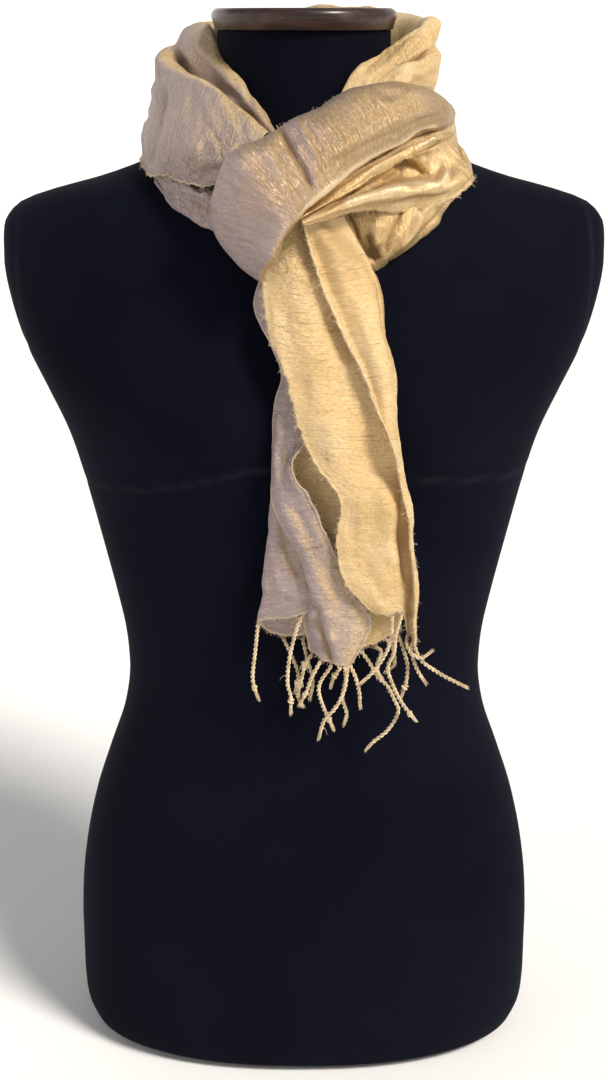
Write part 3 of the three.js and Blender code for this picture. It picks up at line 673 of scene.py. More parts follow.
def neckCap():
    r, thick, bend = capLook["wide"] / 2, capLook["thick"], capLook["round"]
    profile = [(r - inward, up) for inward, up in capLook["foot"]]
    for k in range(13):
        turn = -math.pi / 5 + k / 12 * (math.pi * 0.7)
        profile.append((r - bend + bend * math.cos(turn), thick - bend + bend * math.sin(turn)))
    profile.append((r - capLook["flat"], thick))
    n = capLook["segments"]
    points, faces = [], []
    for along, high in profile:
        for k in range(n):
            turn = fullTurn * k / n
            x, y = along * math.cos(turn), along * math.sin(turn) * capLook["deep"] / capLook["wide"]
            points.append((x * mm, y * mm, (capLook["low"] + high) * mm))
    rows = len(profile)
    for j in range(rows - 1):
        for k in range(n):
            a, b = j * n + k, j * n + (k + 1) % n
            faces.append((a, b, b + n, a + n))
    faces += [list(range(n))[::-1], [(rows - 1) * n + k for k in range(n)]]
    made = placed("neckCap", surface("neckCap", points, faces, capMaterial()))
    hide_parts("neck_cap")
    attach(made, "root")


dressForm()
neckCap()


# the loop round the neck
collar = {
    "columns": ["neck", "crest", "top", "valley", "ridge", "dent", "face", "hem"],
    "rows": {
        "underTheFolds": [[60, 22, 700], [81, 24, 740], [85, 26, 739], [86, 24, 730], [90, 23, 721],
            [86, 22, 699], [101, 24, 682], [104, 25, 651]],
        "rightSeam": [[54, 34, 700], [76, 38, 746], [87, 40, 745], [88, 38, 733], [94, 38, 723],
            [89, 38, 699], [104, 40, 683], [107, 42, 651]],
        "rightRear": [[40, 49, 700], [50, 60, 749], [61, 71, 751], [63, 76, 741], [73, 84, 734],
            [69, 83, 712], [81, 91, 690], [76, 89, 648]],
        "rightNape": [[16, 59, 700], [18, 70, 752], [20, 83, 756], [20, 91, 746], [22, 102, 741],
            [21, 98, 723], [25, 109, 700], [24, 97, 644]],
        "leftNape": [[-14, 59, 700], [-17, 70, 748], [-20, 82, 751], [-21, 90, 741], [-23, 101, 737],
            [-22, 98, 719], [-26, 108, 696], [-24, 97, 644]],
        "leftRear": [[-38, 49, 700], [-45, 60, 745], [-58, 70, 746], [-62, 76, 736], [-70, 84, 731],
            [-69, 85, 711], [-78, 90, 688], [-74, 89, 648]],
        "leftSeam": [[-52, 34, 700], [-63, 36, 742], [-80, 40, 741], [-89, 38, 730], [-99, 36, 725],
            [-101, 38, 702], [-105, 38, 678], [-104, 40, 652]],
        "side": [[-61, 4, 700], [-65, 16, 742], [-79, 18, 739], [-86, 14, 722], [-98, 8, 719],
            [-99, -2, 703], [-106, -14, 681], [-107, -38, 656]],
        "frontLeft": [[-54, -24, 692], [-53, -20, 722], [-60, -24, 720], [-66, -24, 712], [-81, -36, 713],
            [-87, -48, 695], [-95, -60, 672], [-101, -62, 648]],
        "breast": [[-43, -44, 684], [-42, -44, 709], [-48, -50, 708], [-53, -47, 703], [-64, -61, 707],
            [-72, -74, 690], [-80, -85, 670], [-85, -81, 649]],
        "byTheBand": [[-31, -66, 674], [-31, -68, 698], [-35, -74, 696], [-39, -72, 692], [-47, -85, 698],
            [-55, -97, 684], [-62, -105, 667], [-67, -100, 647]],
        "underTheBand": [[-18, -88, 664], [-18, -98, 680], [-19, -103, 679], [-20, -102, 677],
            [-23, -114, 680], [-31, -120, 670], [-40, -121, 658], [-50, -112, 645]],
    },
}
collarLook = {
    "seed": 11, "mauve": (0.0, 0.8),
    "golden": [((0.1, 0.05), 24, 0.9), ((0.1, 0.14), 26, 0.9), ((0.14, 0.7), 20, 0.45)], "raw": ["end"],
    "roll": {"end": 0.7}, "lift": 3.2, "fray": 0.8, "wavy": {"end": 1.1},
    "swell": [(38, 0.7), (13, 0.25)],
    "rough": [((0.8, 0.94), 20, 4.6, 0.34), ((0.95, 0.9), 18, 3.8, 0.36), ((0.94, 0.8), 12, 4.8, 0.22),
        ((0.86, 0.14), 26, 6.0, 0.12), ((0.8, 0.42), 24, 6.4, 0.14)],
    "creases": [
        (3.4, -5.6, [(0.45, 0.57), (0.46, 0.7), (0.47, 0.84), (0.46, 0.97)], {"fade": 0.15}),
        (2.6, 1.5, [(0.59, 0.58), (0.58, 0.7), (0.58, 0.84), (0.58, 0.98)]),
        (8, -2.6, [(0.62, 0.7), (0.75, 0.705), (0.9, 0.72), (0.99, 0.73)]),
        (7, 1.0, [(0.63, 0.78), (0.78, 0.77), (0.92, 0.78)]),
        (3.2, 0.9, [(0.78, 0.66), (0.76, 0.76), (0.77, 0.86)]),
        (2.2, 0.7, [(0.95, 0.77), (0.93, 0.8), (0.88, 0.85), (0.83, 0.86), (0.78, 0.89), (0.7, 0.93)]),
        (2.0, -0.8, [(0.97, 0.82), (0.93, 0.86), (0.87, 0.9), (0.84, 0.94)]),
        (2.4, -0.8, [(0.66, 0.84), (0.72, 0.88), (0.8, 0.95)]),
        (1.8, -0.9, [(0.99, 0.86), (0.95, 0.89), (0.9, 0.93), (0.86, 0.99)]),
        (1.8, 0.6, [(0.74, 0.9), (0.8, 0.885), (0.88, 0.89), (0.97, 0.92)]),
        (2.0, -0.8, [(0.99, 0.9), (0.92, 0.93), (0.88, 0.98)]),
        (3.0, -0.9, [(0.2, 0.62), (0.3, 0.66), (0.36, 0.76), (0.34, 0.9)]),
        (5.0, -3.4, [(0.64, 0.0), (0.68, 0.12), (0.71, 0.24), (0.7, 0.36), (0.66, 0.48), (0.62, 0.6)],
            {"fade": 0.12}),
        (5.4, 3.0, [(0.75, 0.02), (0.78, 0.14), (0.81, 0.28), (0.79, 0.42), (0.73, 0.55), (0.69, 0.66)],
            {"fade": 0.12}),
        (4.6, -3.0, [(0.86, 0.1), (0.89, 0.2), (0.91, 0.32), (0.89, 0.44), (0.84, 0.56), (0.8, 0.68)],
            {"fade": 0.2}),
        (4.4, 1.6, [(0.96, 0.22), (0.97, 0.34), (0.95, 0.46), (0.93, 0.58)]),
        (3.6, -1.6, [(0.62, 0.2), (0.7, 0.3), (0.82, 0.38), (0.95, 0.44)]),
        (3.8, 1.7, [(0.97, 0.66), (0.88, 0.6), (0.77, 0.545), (0.66, 0.52)]),
        (3.4, -1.7, [(0.92, 0.02), (0.88, 0.08), (0.8, 0.12), (0.74, 0.19)]),
        (2.8, -2.6, [(0.36, 0.08), (0.4, 0.2), (0.37, 0.34), (0.4, 0.46), (0.44, 0.58)],
            {"kind": "sharp", "fade": 0.15}),
        (3.4, 1.5, [(0.52, 0.06), (0.54, 0.2), (0.51, 0.34), (0.53, 0.5)]),
        (3.0, -1.3, [(0.22, 0.16), (0.26, 0.28), (0.22, 0.42)]),
    ],
}
collarLeftLow = {
    "columns": ["top", "bulge", "crease", "roll", "under"],
    "rows": {
        "side": [[-100, -44, 655], [-101, -52, 651], [-98, -52, 648], [-97, -57, 645], [-92, -52, 641]],
        "shoulder": [[-89, -68, 653], [-90, -77, 647], [-87, -74, 641], [-85, -75, 633], [-78, -66, 629]],
        "breast": [[-73, -84, 649], [-75, -93, 643], [-72, -89, 635], [-71, -88, 625], [-63, -79, 620]],
        "byTheBand": [[-59, -98, 645], [-61, -106, 639], [-58, -101, 629], [-57, -99, 619],
            [-50, -88, 614]],
        "underTheBand": [[-44, -106, 640], [-45, -111, 634], [-43, -107, 624], [-42, -105, 614],
            [-36, -93, 609]],
    },
}
collarLeftLowLook = {
    "seed": 21, "mauveShade": 0.6, "mauve": (0.1, 1.0), "crushed": 0.6, "swell": [(22, 0.6), (8, 0.3)],
    "rough": [((0.25, 0.35), 12, 3.2, 0.45), ((0.3, 0.7), 10, 3.6, 0.35)],
    "creases": [
        (1.6, -2.2, [(0.5, 0.42), (0.47, 0.55), (0.48, 0.68), (0.46, 0.82)], {"kind": "sharp"}),
        (1.8, -1.0, [(0.2, 0.1), (0.3, 0.3), (0.34, 0.55)], {"kind": "pinch"}),
        (3.0, 1.0, [(0.7, 0.15), (0.72, 0.45), (0.7, 0.8)]),
        (1.6, 0.9, [(0.12, 0.45), (0.22, 0.62), (0.2, 0.85)], {"kind": "pinch"}),
    ],
}
collarRight = {
    "columns": ["neck", "crest", "top", "dip", "ridge", "face", "tuck"],
    "rows": {
        "seam": [[54, 34, 700], [76, 38, 746], [87, 40, 745], [88, 38, 733], [94, 38, 723], [92, 38, 712],
            [88, 38, 702]],
        "side": [[62, 4, 700], [84, 14, 747], [91, 16, 744], [87, 6, 727], [90, -1, 720], [89, -6, 708],
            [85, -6, 697]],
        "frontRight": [[58, -16, 695], [67, -6, 735], [74, -12, 730], [77, -18, 722], [80, -22, 720],
            [81, -30, 709], [77, -29, 698]],
        "breast": [[46, -38, 688], [50, -24, 726], [56, -34, 720], [60, -40, 714], [64, -44, 716],
            [66, -52, 706], [62, -50, 696]],
        "byTheBand": [[34, -56, 680], [33, -48, 715], [39, -57, 709], [44, -62, 705], [48, -68, 706],
            [50, -76, 697], [46, -74, 689]],
        "underTheBand": [[22, -74, 670], [22, -72, 698], [26, -80, 694], [29, -84, 691], [32, -92, 692],
            [34, -98, 684], [30, -96, 678]],
    },
}
collarRightLook = {
    "seed": 31, "mauve": (0.0, 0.3), "crushed": 0.28, "worn": [((0.5, 0.5), 9, 0.2)],
    "swell": [(30, 0.6), (10, 0.2)],
    "rough": [((0.3, 0.5), 22, 5.4, 0.2)],
    "creases": [
        (2.3, -4.6, [(0.5, 0.1), (0.49, 0.4), (0.5, 0.66), (0.52, 0.88)], {"fade": 0.12}),
        (2.4, 2.2, [(0.6, 0.1), (0.59, 0.4), (0.6, 0.66), (0.61, 0.88)], {"fade": 0.12}),
        (2.2, 1.1, [(0.4, 0.14), (0.41, 0.4), (0.4, 0.66)]),
        (2.6, -1.6, [(0.86, 0.3), (0.84, 0.52), (0.86, 0.76)]),
        (2.6, 1.0, [(0.28, 0.3), (0.32, 0.55), (0.34, 0.8)]),
        (2.0, -0.9, [(0.2, 0.34), (0.24, 0.6), (0.26, 0.84)]),
        (3.2, -1.2, [(0.72, 0.2), (0.8, 0.38), (0.78, 0.6)]),
        (2.2, 0.8, [(0.62, 0.42), (0.7, 0.6), (0.74, 0.8)]),
    ],
}
knotBand = {
    "columns": ["back", "turn", "top", "upper", "lower", "roll", "under"],
    "rows": {
        "seam": [[84, 39, 690], [88, 39, 694], [93, 39, 693], [99, 39, 690], [103, 39, 685],
            [103, 39, 680], [99, 39, 676]],
        "side": [[84, -4, 692], [88, -6, 696], [93, -9, 695], [98, -13, 691], [100, -16, 686],
            [99, -19, 681], [95, -17, 677]],
        "right": [[80, -36, 697], [84, -38, 700], [89, -43, 698], [93, -45, 693], [94, -46, 687],
            [92, -43, 680], [88, -39, 677]],
        "rightFront": [[62, -57, 702], [65, -60, 706], [69, -66, 706], [76, -73, 699], [79, -76, 690],
            [77, -70, 681], [73, -64, 676]],
        "frontRight": [[34, -82, 701], [37, -85, 706], [41, -91, 707], [50, -100, 697], [57, -104, 686],
            [57, -98, 674], [53, -91, 670]],
        "front": [[4, -104, 690], [7, -107, 694], [10, -113, 695], [20, -123, 686], [28, -128, 673],
            [30, -122, 661], [26, -114, 656]],
        "crease": [[-22, -112, 676], [-20, -117, 680], [-17, -123, 681], [-8, -133, 671], [2, -139, 658],
            [8, -141, 645], [5, -134, 640]],
        "leftTurn": [[-42, -118, 664], [-45, -124, 667], [-44, -132, 666], [-33, -140, 656],
            [-18, -146, 645], [-4, -148, 633], [-5, -141, 628]],
        "lowLeft": [[-46, -110, 642], [-54, -118, 643], [-57, -126, 641], [-46, -137, 637],
            [-29, -144, 631], [-12, -149, 624], [-12, -142, 619]],
        "low": [[-42, -104, 622], [-50, -112, 620], [-54, -120, 618], [-47, -130, 616], [-34, -139, 613],
            [-20, -147, 609], [-18, -140, 605]],
        "tip": [[-28, -108, 606], [-34, -114, 602], [-39, -121, 599], [-38, -128, 599], [-33, -134, 599],
            [-27, -140, 598], [-24, -134, 596]],
        "end": [[-20, -112, 600], [-24, -117, 596], [-28, -122, 593], [-29, -127, 592], [-28, -131, 592],
            [-26, -134, 592], [-23, -129, 591]],
    },
}
knotBandLook = {
    "seed": 41, "hairy": [(0.13, 0.34, 0.58)], "mauveShade": 0.5, "mauve": (0.0, 0.95), "deep": 0.08,
    "crushed": 0.05, "worn": [((0.62, 0.5), 12, 0.22), ((0.62, 0.65), 15, 0.3)],
    "swell": [(42, 0.6), (12, 0.14)],
    "rough": [((0.42, 0.1), 17, 4.4, 0.2)],
    "creases": [
        (2.7, -2.9, [(0.14, 0.525), (0.26, 0.532), (0.4, 0.54), (0.52, 0.545), (0.64, 0.55),
            (0.8, 0.552)], {"fade": 0.16}),
        (2.2, 1.1, [(0.22, 0.505), (0.4, 0.508), (0.56, 0.515), (0.72, 0.52)]),
        (3.0, 0.8, [(0.3, 0.575), (0.46, 0.582), (0.64, 0.59)]),
        (2.2, -1.1, [(0.7, 0.06), (0.7, 0.25), (0.71, 0.45), (0.71, 0.62), (0.7, 0.82)]),
        (2.3, 2.6, [(0.82, 0.02), (0.82, 0.25), (0.83, 0.45), (0.83, 0.65), (0.82, 0.86)]),
        (1.4, -1.4, [(0.93, 0.04), (0.93, 0.3), (0.93, 0.6), (0.93, 0.84)]),
        (1.6, 0.7, [(0.6, 0.3), (0.61, 0.42), (0.62, 0.52)]),
        (1.5, 0.7, [(0.22, 0.04), (0.21, 0.22), (0.2, 0.38), (0.19, 0.5)]),
        (4.0, -0.7, [(0.4, 0.6), (0.5, 0.605), (0.62, 0.62)]),
        (5.0, 0.8, [(0.44, 0.2), (0.5, 0.3), (0.52, 0.42)]),
        (3.0, -0.6, [(0.62, 0.12), (0.6, 0.24), (0.62, 0.36), (0.64, 0.46)]),
        (3.5, -0.7, [(0.3, 0.72), (0.42, 0.76), (0.56, 0.8)]),
        (3.0, 0.6, [(0.48, 0.66), (0.58, 0.74), (0.64, 0.86)]),
    ],
}
knotLobe = {
    "columns": ["groove", "fold", "second groove", "second fold", "upper", "hollow", "bulge", "hem"],
    "rows": {
        "seam": [[100, 39, 675], [105, 39, 673], [102, 39, 670], [105, 39, 667], [104, 39, 663],
            [105, 39, 660], [107, 39, 655], [106, 39, 649]],
        "side": [[90, -12, 683], [99, -17, 677], [97, -18, 672], [101, -20, 671], [103, -22, 667],
            [107, -26, 661], [110, -30, 655], [110, -34, 648]],
        "right": [[80, -39, 683], [87, -46, 677], [85, -47, 671], [88, -50, 669], [92, -50, 664],
            [98, -52, 657], [105, -58, 650], [110, -56, 645]],
        "lobe": [[62, -62, 681], [70, -74, 674], [67, -74, 668], [70, -78, 665], [75, -72, 661],
            [80, -72, 652], [88, -84, 643], [92, -78, 635]],
        "middle": [[46, -83, 674], [52, -95, 666], [48, -93, 660], [50, -97, 656], [54, -90, 654],
            [59, -90, 650], [66, -106, 644], [70, -94, 631]],
        "front": [[24, -104, 662], [29, -116, 655], [26, -112, 649], [27, -117, 645], [30, -110, 645],
            [34, -112, 643], [38, -122, 641], [38, -112, 633]],
        "near": [[7, -121, 650], [12, -132, 644], [9, -128, 640], [10, -133, 637], [11, -127, 637],
            [13, -128, 636], [15, -134, 634], [14, -128, 629]],
        "gather": [[-6, -131, 641], [-3, -140, 635], [-4, -136, 632], [-3, -139, 631], [-2, -136, 630],
            [-2, -137, 629], [-1, -139, 628], [-1, -135, 627]],
    },
}
knotLobeLook = {
    "seed": 51, "mauveShade": 0.25, "mauve": (0.0, 0.4), "crushed": 0.06, "raw": ["end"], "wavy": {"end": 1.2},
    "roll": {"end": 0.8}, "swell": [(30, 0.5), (11, 0.2)], "worn": [((0.56, 0.47), 7, 0.4),
    ((0.92, 0.52), 6, 0.25), ((0.66, 0.64), 6, 0.3)],
    "rough": [((0.66, 0.16), 17, 4.4, 0.22)],
    "creases": [
        (1.6, -3.4, [(0.13, 0.04), (0.12, 0.3), (0.12, 0.58), (0.13, 0.92)]),
        (2.2, 3.0, [(0.29, 0.02), (0.3, 0.3), (0.32, 0.58), (0.32, 0.9)]),
        (1.3, -3.0, [(0.42, 0.1), (0.425, 0.36), (0.43, 0.62), (0.43, 0.88)]),
        (1.3, 1.5, [(0.475, 0.34), (0.475, 0.48), (0.48, 0.66), (0.49, 0.86)]),
        (1.3, -2.2, [(0.53, 0.5), (0.54, 0.64), (0.55, 0.82)]),
        (2.7, -6.5, [(0.5, 0.535), (0.56, 0.49), (0.63, 0.455), (0.7, 0.435), (0.77, 0.42)],
            {"fade": 0.2, "ends": 0.15}),
        (3.2, -2.0, [(0.47, 0.45), (0.51, 0.39), (0.57, 0.345)]),
        (2.7, 3.2, [(0.86, 0.86), (0.84, 0.72), (0.82, 0.62), (0.8, 0.52), (0.82, 0.45), (0.77, 0.375),
            (0.66, 0.33), (0.56, 0.3)], {"fade": 0.18}),
        (3.0, -3.0, [(0.64, 0.5), (0.66, 0.6), (0.68, 0.7), (0.66, 0.82)]),
        (2.4, -2.4, [(0.94, 0.68), (0.92, 0.56), (0.92, 0.46), (0.93, 0.37)]),
        (2.4, -1.8, [(0.52, 0.08), (0.6, 0.16), (0.72, 0.2), (0.82, 0.22)]),
        (2.4, 1.2, [(0.86, 0.1), (0.92, 0.2), (0.96, 0.3)]),
    ],
}
loopUnder = {
    "columns": ["top", "upper", "crease", "face", "bottom"],
    "rows": {
        "side": [[104, -30, 657], [106, -36, 653], [106, -42, 649], [104, -50, 645], [99, -54, 640]],
        "shoulder": [[88, -58, 655], [92, -68, 648], [93, -74, 641], [97, -73, 637], [92, -69, 630]],
        "breast": [[71, -76, 650], [76, -88, 640], [75, -92, 628], [80, -89, 620], [77, -81, 613]],
        "low": [[50, -88, 646], [54, -100, 634], [55, -104, 616], [60, -98, 606], [57, -90, 600]],
        "behindTheTails": [[22, -96, 642], [30, -102, 626], [36, -101, 608], [42, -100, 598],
            [44, -94, 592]],
        "bight": [[-20, -100, 642], [-14, -102, 624], [-8, -102, 608], [-2, -100, 598], [4, -96, 592]],
    },
}
loopUnderLook = {
    "seed": 61, "worn": [((0.56, 0.76), 7, 0.6), ((0.24, 0.72), 9, 0.3)], "mauve": (0.0, 0.4),
    "mauveShade": 0.25, "crushed": 0.1, "swell": [(28, 0.6), (10, 0.2)],
    "creases": [
        (2.4, -3.2, [(0.2, 0.5), (0.36, 0.54), (0.58, 0.63), (0.84, 0.7)], {"kind": "sharp"}),
        (4.6, 1.8, [(0.3, 0.44), (0.5, 0.5), (0.74, 0.58)]),
        (2.0, -3.6, [(0.16, 0.81), (0.3, 0.8), (0.44, 0.795), (0.58, 0.785), (0.72, 0.775), (0.84, 0.77)],
            {"kind": "sharp", "ends": 0.3}),
        (4.2, -3.6, [(0.4, 0.75), (0.54, 0.755), (0.68, 0.755), (0.8, 0.75)], {"ends": 0.3}),
        (3.4, 2.2, [(0.14, 0.86), (0.32, 0.85), (0.52, 0.84), (0.72, 0.825)]),
        (3.0, -2.2, [(0.2, 0.92), (0.36, 0.915), (0.52, 0.9)]),
        (3.4, 1.6, [(0.3, 0.66), (0.46, 0.7), (0.6, 0.72)]),
        (2.6, -1.8, [(0.66, 0.2), (0.7, 0.36), (0.76, 0.5)]),
        (2.6, 1.4, [(0.84, 0.26), (0.88, 0.42), (0.9, 0.58)]),
        (2.4, 1.3, [(0.36, 0.16), (0.42, 0.3), (0.52, 0.42)]),
        (2.4, 1.4, [(0.58, 0.4), (0.66, 0.52), (0.78, 0.62)]),
    ],
}
tailFront = {
    "columns": ["left", "face", "inner", "fold", "strip", "edge"],
    "rows": {
        "root": [[-16, -118, 628], [-8, -121, 628], [4, -114, 629], [24, -112, 630], [12, -122, 629],
            [-1, -130, 628]],
        "collar": [[-26, -120, 587], [-6, -126, 587], [24, -117, 588], [46, -116, 588], [34, -127, 588],
            [13, -133, 586]],
        "throat": [[-22, -123, 558], [0, -129, 557], [34, -121, 556], [51, -120, 556], [42, -131, 556],
            [27, -136, 555]],
        "chest": [[-13, -127, 535], [6, -132, 535], [40, -124, 535], [57, -124, 536], [50, -134, 536],
            [38, -138, 534]],
        "bust": [[-5, -130, 504], [14, -134, 503], [46, -126, 502], [59, -127, 502], [56, -135, 502],
            [50, -139, 502]],
        "rib": [[5, -132, 477], [22, -135, 474], [48, -128, 470], [63, -126, 470], [63, -134, 470],
            [60, -138, 470]],
        "waist": [[23, -133, 452], [36, -135, 450], [60, -130, 450], [67, -122, 450], [69, -129, 450],
            [64, -136, 449]],
        "low": [[21, -130, 420], [36, -131, 420], [61, -127, 420], [70, -118, 420], [72, -126, 420],
            [69, -132, 420]],
        "lower": [[27, -128, 393], [42, -129, 392], [62, -125, 390], [72, -116, 388], [75, -122, 386],
            [72, -127, 386]],
        "hem": [[45, -126, 372], [54, -128, 371], [65, -123, 371], [71, -113, 350], [75, -117, 347],
            [73, -121, 346]],
    },
}
tailFrontLook = {
    "seed": 71, "mauve": (0.0, 0.35), "mauveShade": 0.2, "crushed": 0.12, "turned": True,
    "roll": {"start": 0.3, "end": 1.3}, "fray": 1.3, "worn": [((0.86, 0.015), 14, 0.7),
    ((0.76, 0.055), 12, 0.5), ((0.84, 0.095), 11, 0.34), ((0.86, 0.22), 10, 0.12)],
    "raw": ["start", "end", "hem"], "wavy": {"start": 1.0, "end": 0.7}, "hemWavy": 1.0,
    "swell": [(45, 0.8), (14, 0.25), (6, 0.08)],
    "rough": [((0.16, 0.08), 20, 5.0, 0.18), ((0.12, 0.2), 18, 5.6, 0.14)],
    "creases": [
        (5.0, -1.0, [(0.1, 0.1), (0.12, 0.22), (0.11, 0.34), (0.1, 0.46)]),
        (2.0, 0.8, [(0.03, 0.1), (0.035, 0.26), (0.03, 0.46)]),
        (1.1, -0.7, [(0.12, 0.212), (0.24, 0.214), (0.36, 0.206), (0.46, 0.212)]),
        (1.0, -0.5, [(0.52, 0.215), (0.66, 0.208), (0.8, 0.205)]),
        (1.3, -0.6, [(0.18, 0.385), (0.3, 0.392), (0.42, 0.388)]),
        (4.0, 0.9, [(0.72, 0.16), (0.74, 0.28), (0.78, 0.38)]),
        (3.0, -0.8, [(0.88, 0.1), (0.86, 0.22), (0.9, 0.34)]),
        (7.0, 0.9, [(0.3, 0.08), (0.26, 0.26), (0.28, 0.42)]),
        (6.0, 0.9, [(0.05, 0.52), (0.18, 0.5), (0.34, 0.53)]),
        (3.4, -1.3, [(0.66, 0.06), (0.62, 0.16), (0.66, 0.28)]),
        (8.0, -5.5, [(0.97, 0.02), (0.97, 0.14), (0.97, 0.28), (0.98, 0.42)], {"ends": 0.5}),
        (4.0, -2.0, [(0.82, 0.0), (0.72, 0.04), (0.64, 0.08)], {"ends": 0.4}),
        (3.0, 1.3, [(0.93, 0.03), (0.82, 0.06), (0.7, 0.1)], {"ends": 0.2}),
        (6.0, -1.5, [(0.76, 0.02), (0.8, 0.12), (0.78, 0.24), (0.82, 0.34)]),
        (5.0, -4.2, [(0.5, 0.62), (0.45, 0.68), (0.46, 0.78), (0.5, 0.9)]),
        (5.0, 2.0, [(0.36, 0.6), (0.34, 0.72), (0.36, 0.86)]),
        (5.0, 1.0, [(0.14, 0.5), (0.22, 0.56), (0.32, 0.6)]),
        (4.0, -1.0, [(0.08, 0.62), (0.14, 0.74), (0.12, 0.88)]),
        (3.2, -1.0, [(0.22, 0.8), (0.26, 0.9), (0.3, 0.98)]),
    ],
}
tailUnder = {
    "columns": ["left", "ridge", "face", "lip"],
    "rows": {
        "root": [[-20, -106, 612], [-14, -112, 612], [0, -114, 612], [18, -110, 612]],
        "collar": [[-31, -106, 571], [-24, -112, 571], [-4, -118, 571], [20, -113, 571]],
        "throat": [[-22, -111, 549], [-14, -116, 549], [2, -120, 549], [24, -116, 549]],
        "chest": [[-15, -113, 529], [-8, -118, 529], [4, -122, 529], [20, -119, 529]],
        "bust": [[-20, -115, 502], [-13, -121, 502], [-2, -124, 500], [8, -124, 498]],
        "rib": [[-21, -116, 468], [-17, -122, 469], [-12, -124, 470], [-7, -129, 471]],
        "waist": [[-21, -117, 444], [-15, -123, 445], [-4, -125, 447], [4, -127, 450]],
        "low": [[-7, -117, 415], [-2, -124, 414], [8, -125, 414], [18, -124, 417]],
        "lower": [[3, -116, 388], [8, -124, 386], [20, -124, 385], [32, -121, 384]],
        "flare": [[0, -111, 362], [11, -124, 362], [28, -124, 362], [45, -119, 362]],
        "hem": [[3, -110, 340], [17, -122, 334], [26, -123, 333], [32, -119, 333]],
    },
}
tailUnderLook = {
    "seed": 81, "mauve": (0.3, 1.0), "mauveShade": 0.55, "roll": {"end": 0.7}, "raw": ["end", "hem"],
    "wavy": {"end": 0.8}, "hemWavy": 1.0, "swell": [(36, 0.8), (12, 0.25)],
    "rough": [((0.9, 0.47), 9, 3.2, 0.5)],
    "creases": [
        (1.2, -0.8, [(0.1, 0.712), (0.4, 0.7), (0.7, 0.695), (1.0, 0.685)], {"ends": 0.6}),
        (3.4, 1.8, [(0.1, 0.72), (0.24, 0.8), (0.4, 0.9), (0.52, 1.0)]),
        (4.2, -4.0, [(0.3, 0.84), (0.32, 0.92), (0.36, 1.0)], {"ends": 0.5}),
        (5.0, -1.5, [(0.55, 0.56), (0.62, 0.66), (0.66, 0.78), (0.74, 0.9)]),
        (4.0, -1.3, [(0.45, 0.3), (0.42, 0.42), (0.46, 0.54)]),
        (1.6, 1.0, [(0.88, 0.44), (0.9, 0.52), (0.92, 0.6)], {"kind": "pinch"}),
        (3.0, 1.0, [(0.25, 0.34), (0.22, 0.46), (0.3, 0.58)]),
    ],
}
tailInner = {
    "columns": ["left", "middle", "right"],
    "rows": {
        "rib": [[-12, -115, 486], [8, -118, 486], [30, -117, 486]],
        "waist": [[-11, -113, 446], [14, -116, 446], [38, -115, 446]],
        "low": [[-2, -111, 410], [22, -115, 410], [44, -113, 410]],
        "lower": [[12, -109, 374], [36, -113, 376], [62, -111, 374]],
        "hem": [[22, -109, 336], [42, -113, 343], [66, -109, 353]],
    },
}
tailInnerLook = {
    "seed": 91, "mauve": (0.0, 0.2), "raw": ["hem"], "hemWavy": 1.0,
    "creases": [
        (6.0, -1.2, [(0.3, 0.1), (0.4, 0.4), (0.35, 0.7)]),
    ],
}
tailSide = {
    "columns": ["lip", "face", "fold", "back", "far"],
    "rows": {
        "top": [[-6, -113, 460], [-14, -115, 459], [-21, -111, 458], [-14, -108, 458], [0, -108, 458]],
        "rib": [[-2, -114, 432], [-14, -116, 430], [-23, -110, 430], [-14, -104, 430], [4, -104, 430]],
        "waist": [[6, -114, 402], [-10, -116, 400], [-26, -108, 400], [-14, -101, 398], [8, -101, 398]],
        "low": [[10, -115, 384], [-8, -116, 380], [-28, -107, 377], [-14, -99, 374], [8, -99, 374]],
        "hem": [[11, -118, 372], [-10, -115, 364], [-31, -106, 358], [-16, -98, 345], [8, -98, 347]],
    },
}
tailSideLook = {
    "seed": 101, "mauve": (0.3, 1.0), "mauveShade": 0.6, "raw": ["hem"], "hemWavy": 0.8,
    "swell": [(24, 0.5), (9, 0.2)],
    "creases": [
        (3.4, -1.8, [(0.34, 0.2), (0.26, 0.42), (0.16, 0.7)]),
        (3.0, 1.0, [(0.42, 0.34), (0.36, 0.56), (0.3, 0.82)]),
        (2.4, -0.8, [(0.44, 0.6), (0.34, 0.72), (0.22, 0.86)]),
        (4.0, -1.2, [(0.62, 0.3), (0.7, 0.6), (0.66, 0.9)]),
    ],
}

grids = {}


def dressed(name, table, nodes, look, material, held, restsOn):
    made, flat, grids[name] = stretch(name, table, nodes, look, material)
    return made, flat, held, restsOn


sheets = [
    dressed("collar", collar, ["collar_back", "collar_left"], collarLook, silkSoft, "folded", ["dress_form"]),
    dressed("collarLeftLow", collarLeftLow, ["collar_left_low"], collarLeftLowLook, silkShade, "folded",
        ["collar", "dress_form"]),
    dressed("collarRight", collarRight, ["collar_right"], collarRightLook, silkWarmLit, "folded", ["collar"]),
    dressed("knotBand", knotBand, ["knot_band"], knotBandLook, silkSatin, "folded", ["collar"]),
    dressed("knotLobe", knotLobe, ["knot_lobe"], knotLobeLook, silkFold, "gathered",
        ["loopUnder", "dress_form"]),
    dressed("loopUnder", loopUnder, ["loop_under"], loopUnderLook, silkFold, "gathered", ["dress_form"]),
    dressed("tailFront", tailFront, ["tail_front"], tailFrontLook, silkWarmLit, "hung", ["knotBand"]),
    dressed("tailUnder", tailUnder, ["tail_under"], tailUnderLook, silkShade, "hung", ["knotBand"]),
    dressed("tailInner", tailInner, ["tail_inner"], tailInnerLook, silkWarmLit, "hung", ["tailUnder"]),
    dressed("tailSide", tailSide, ["tail_side"], tailSideLook, silkShade, "hung", ["tailUnder"]),
]

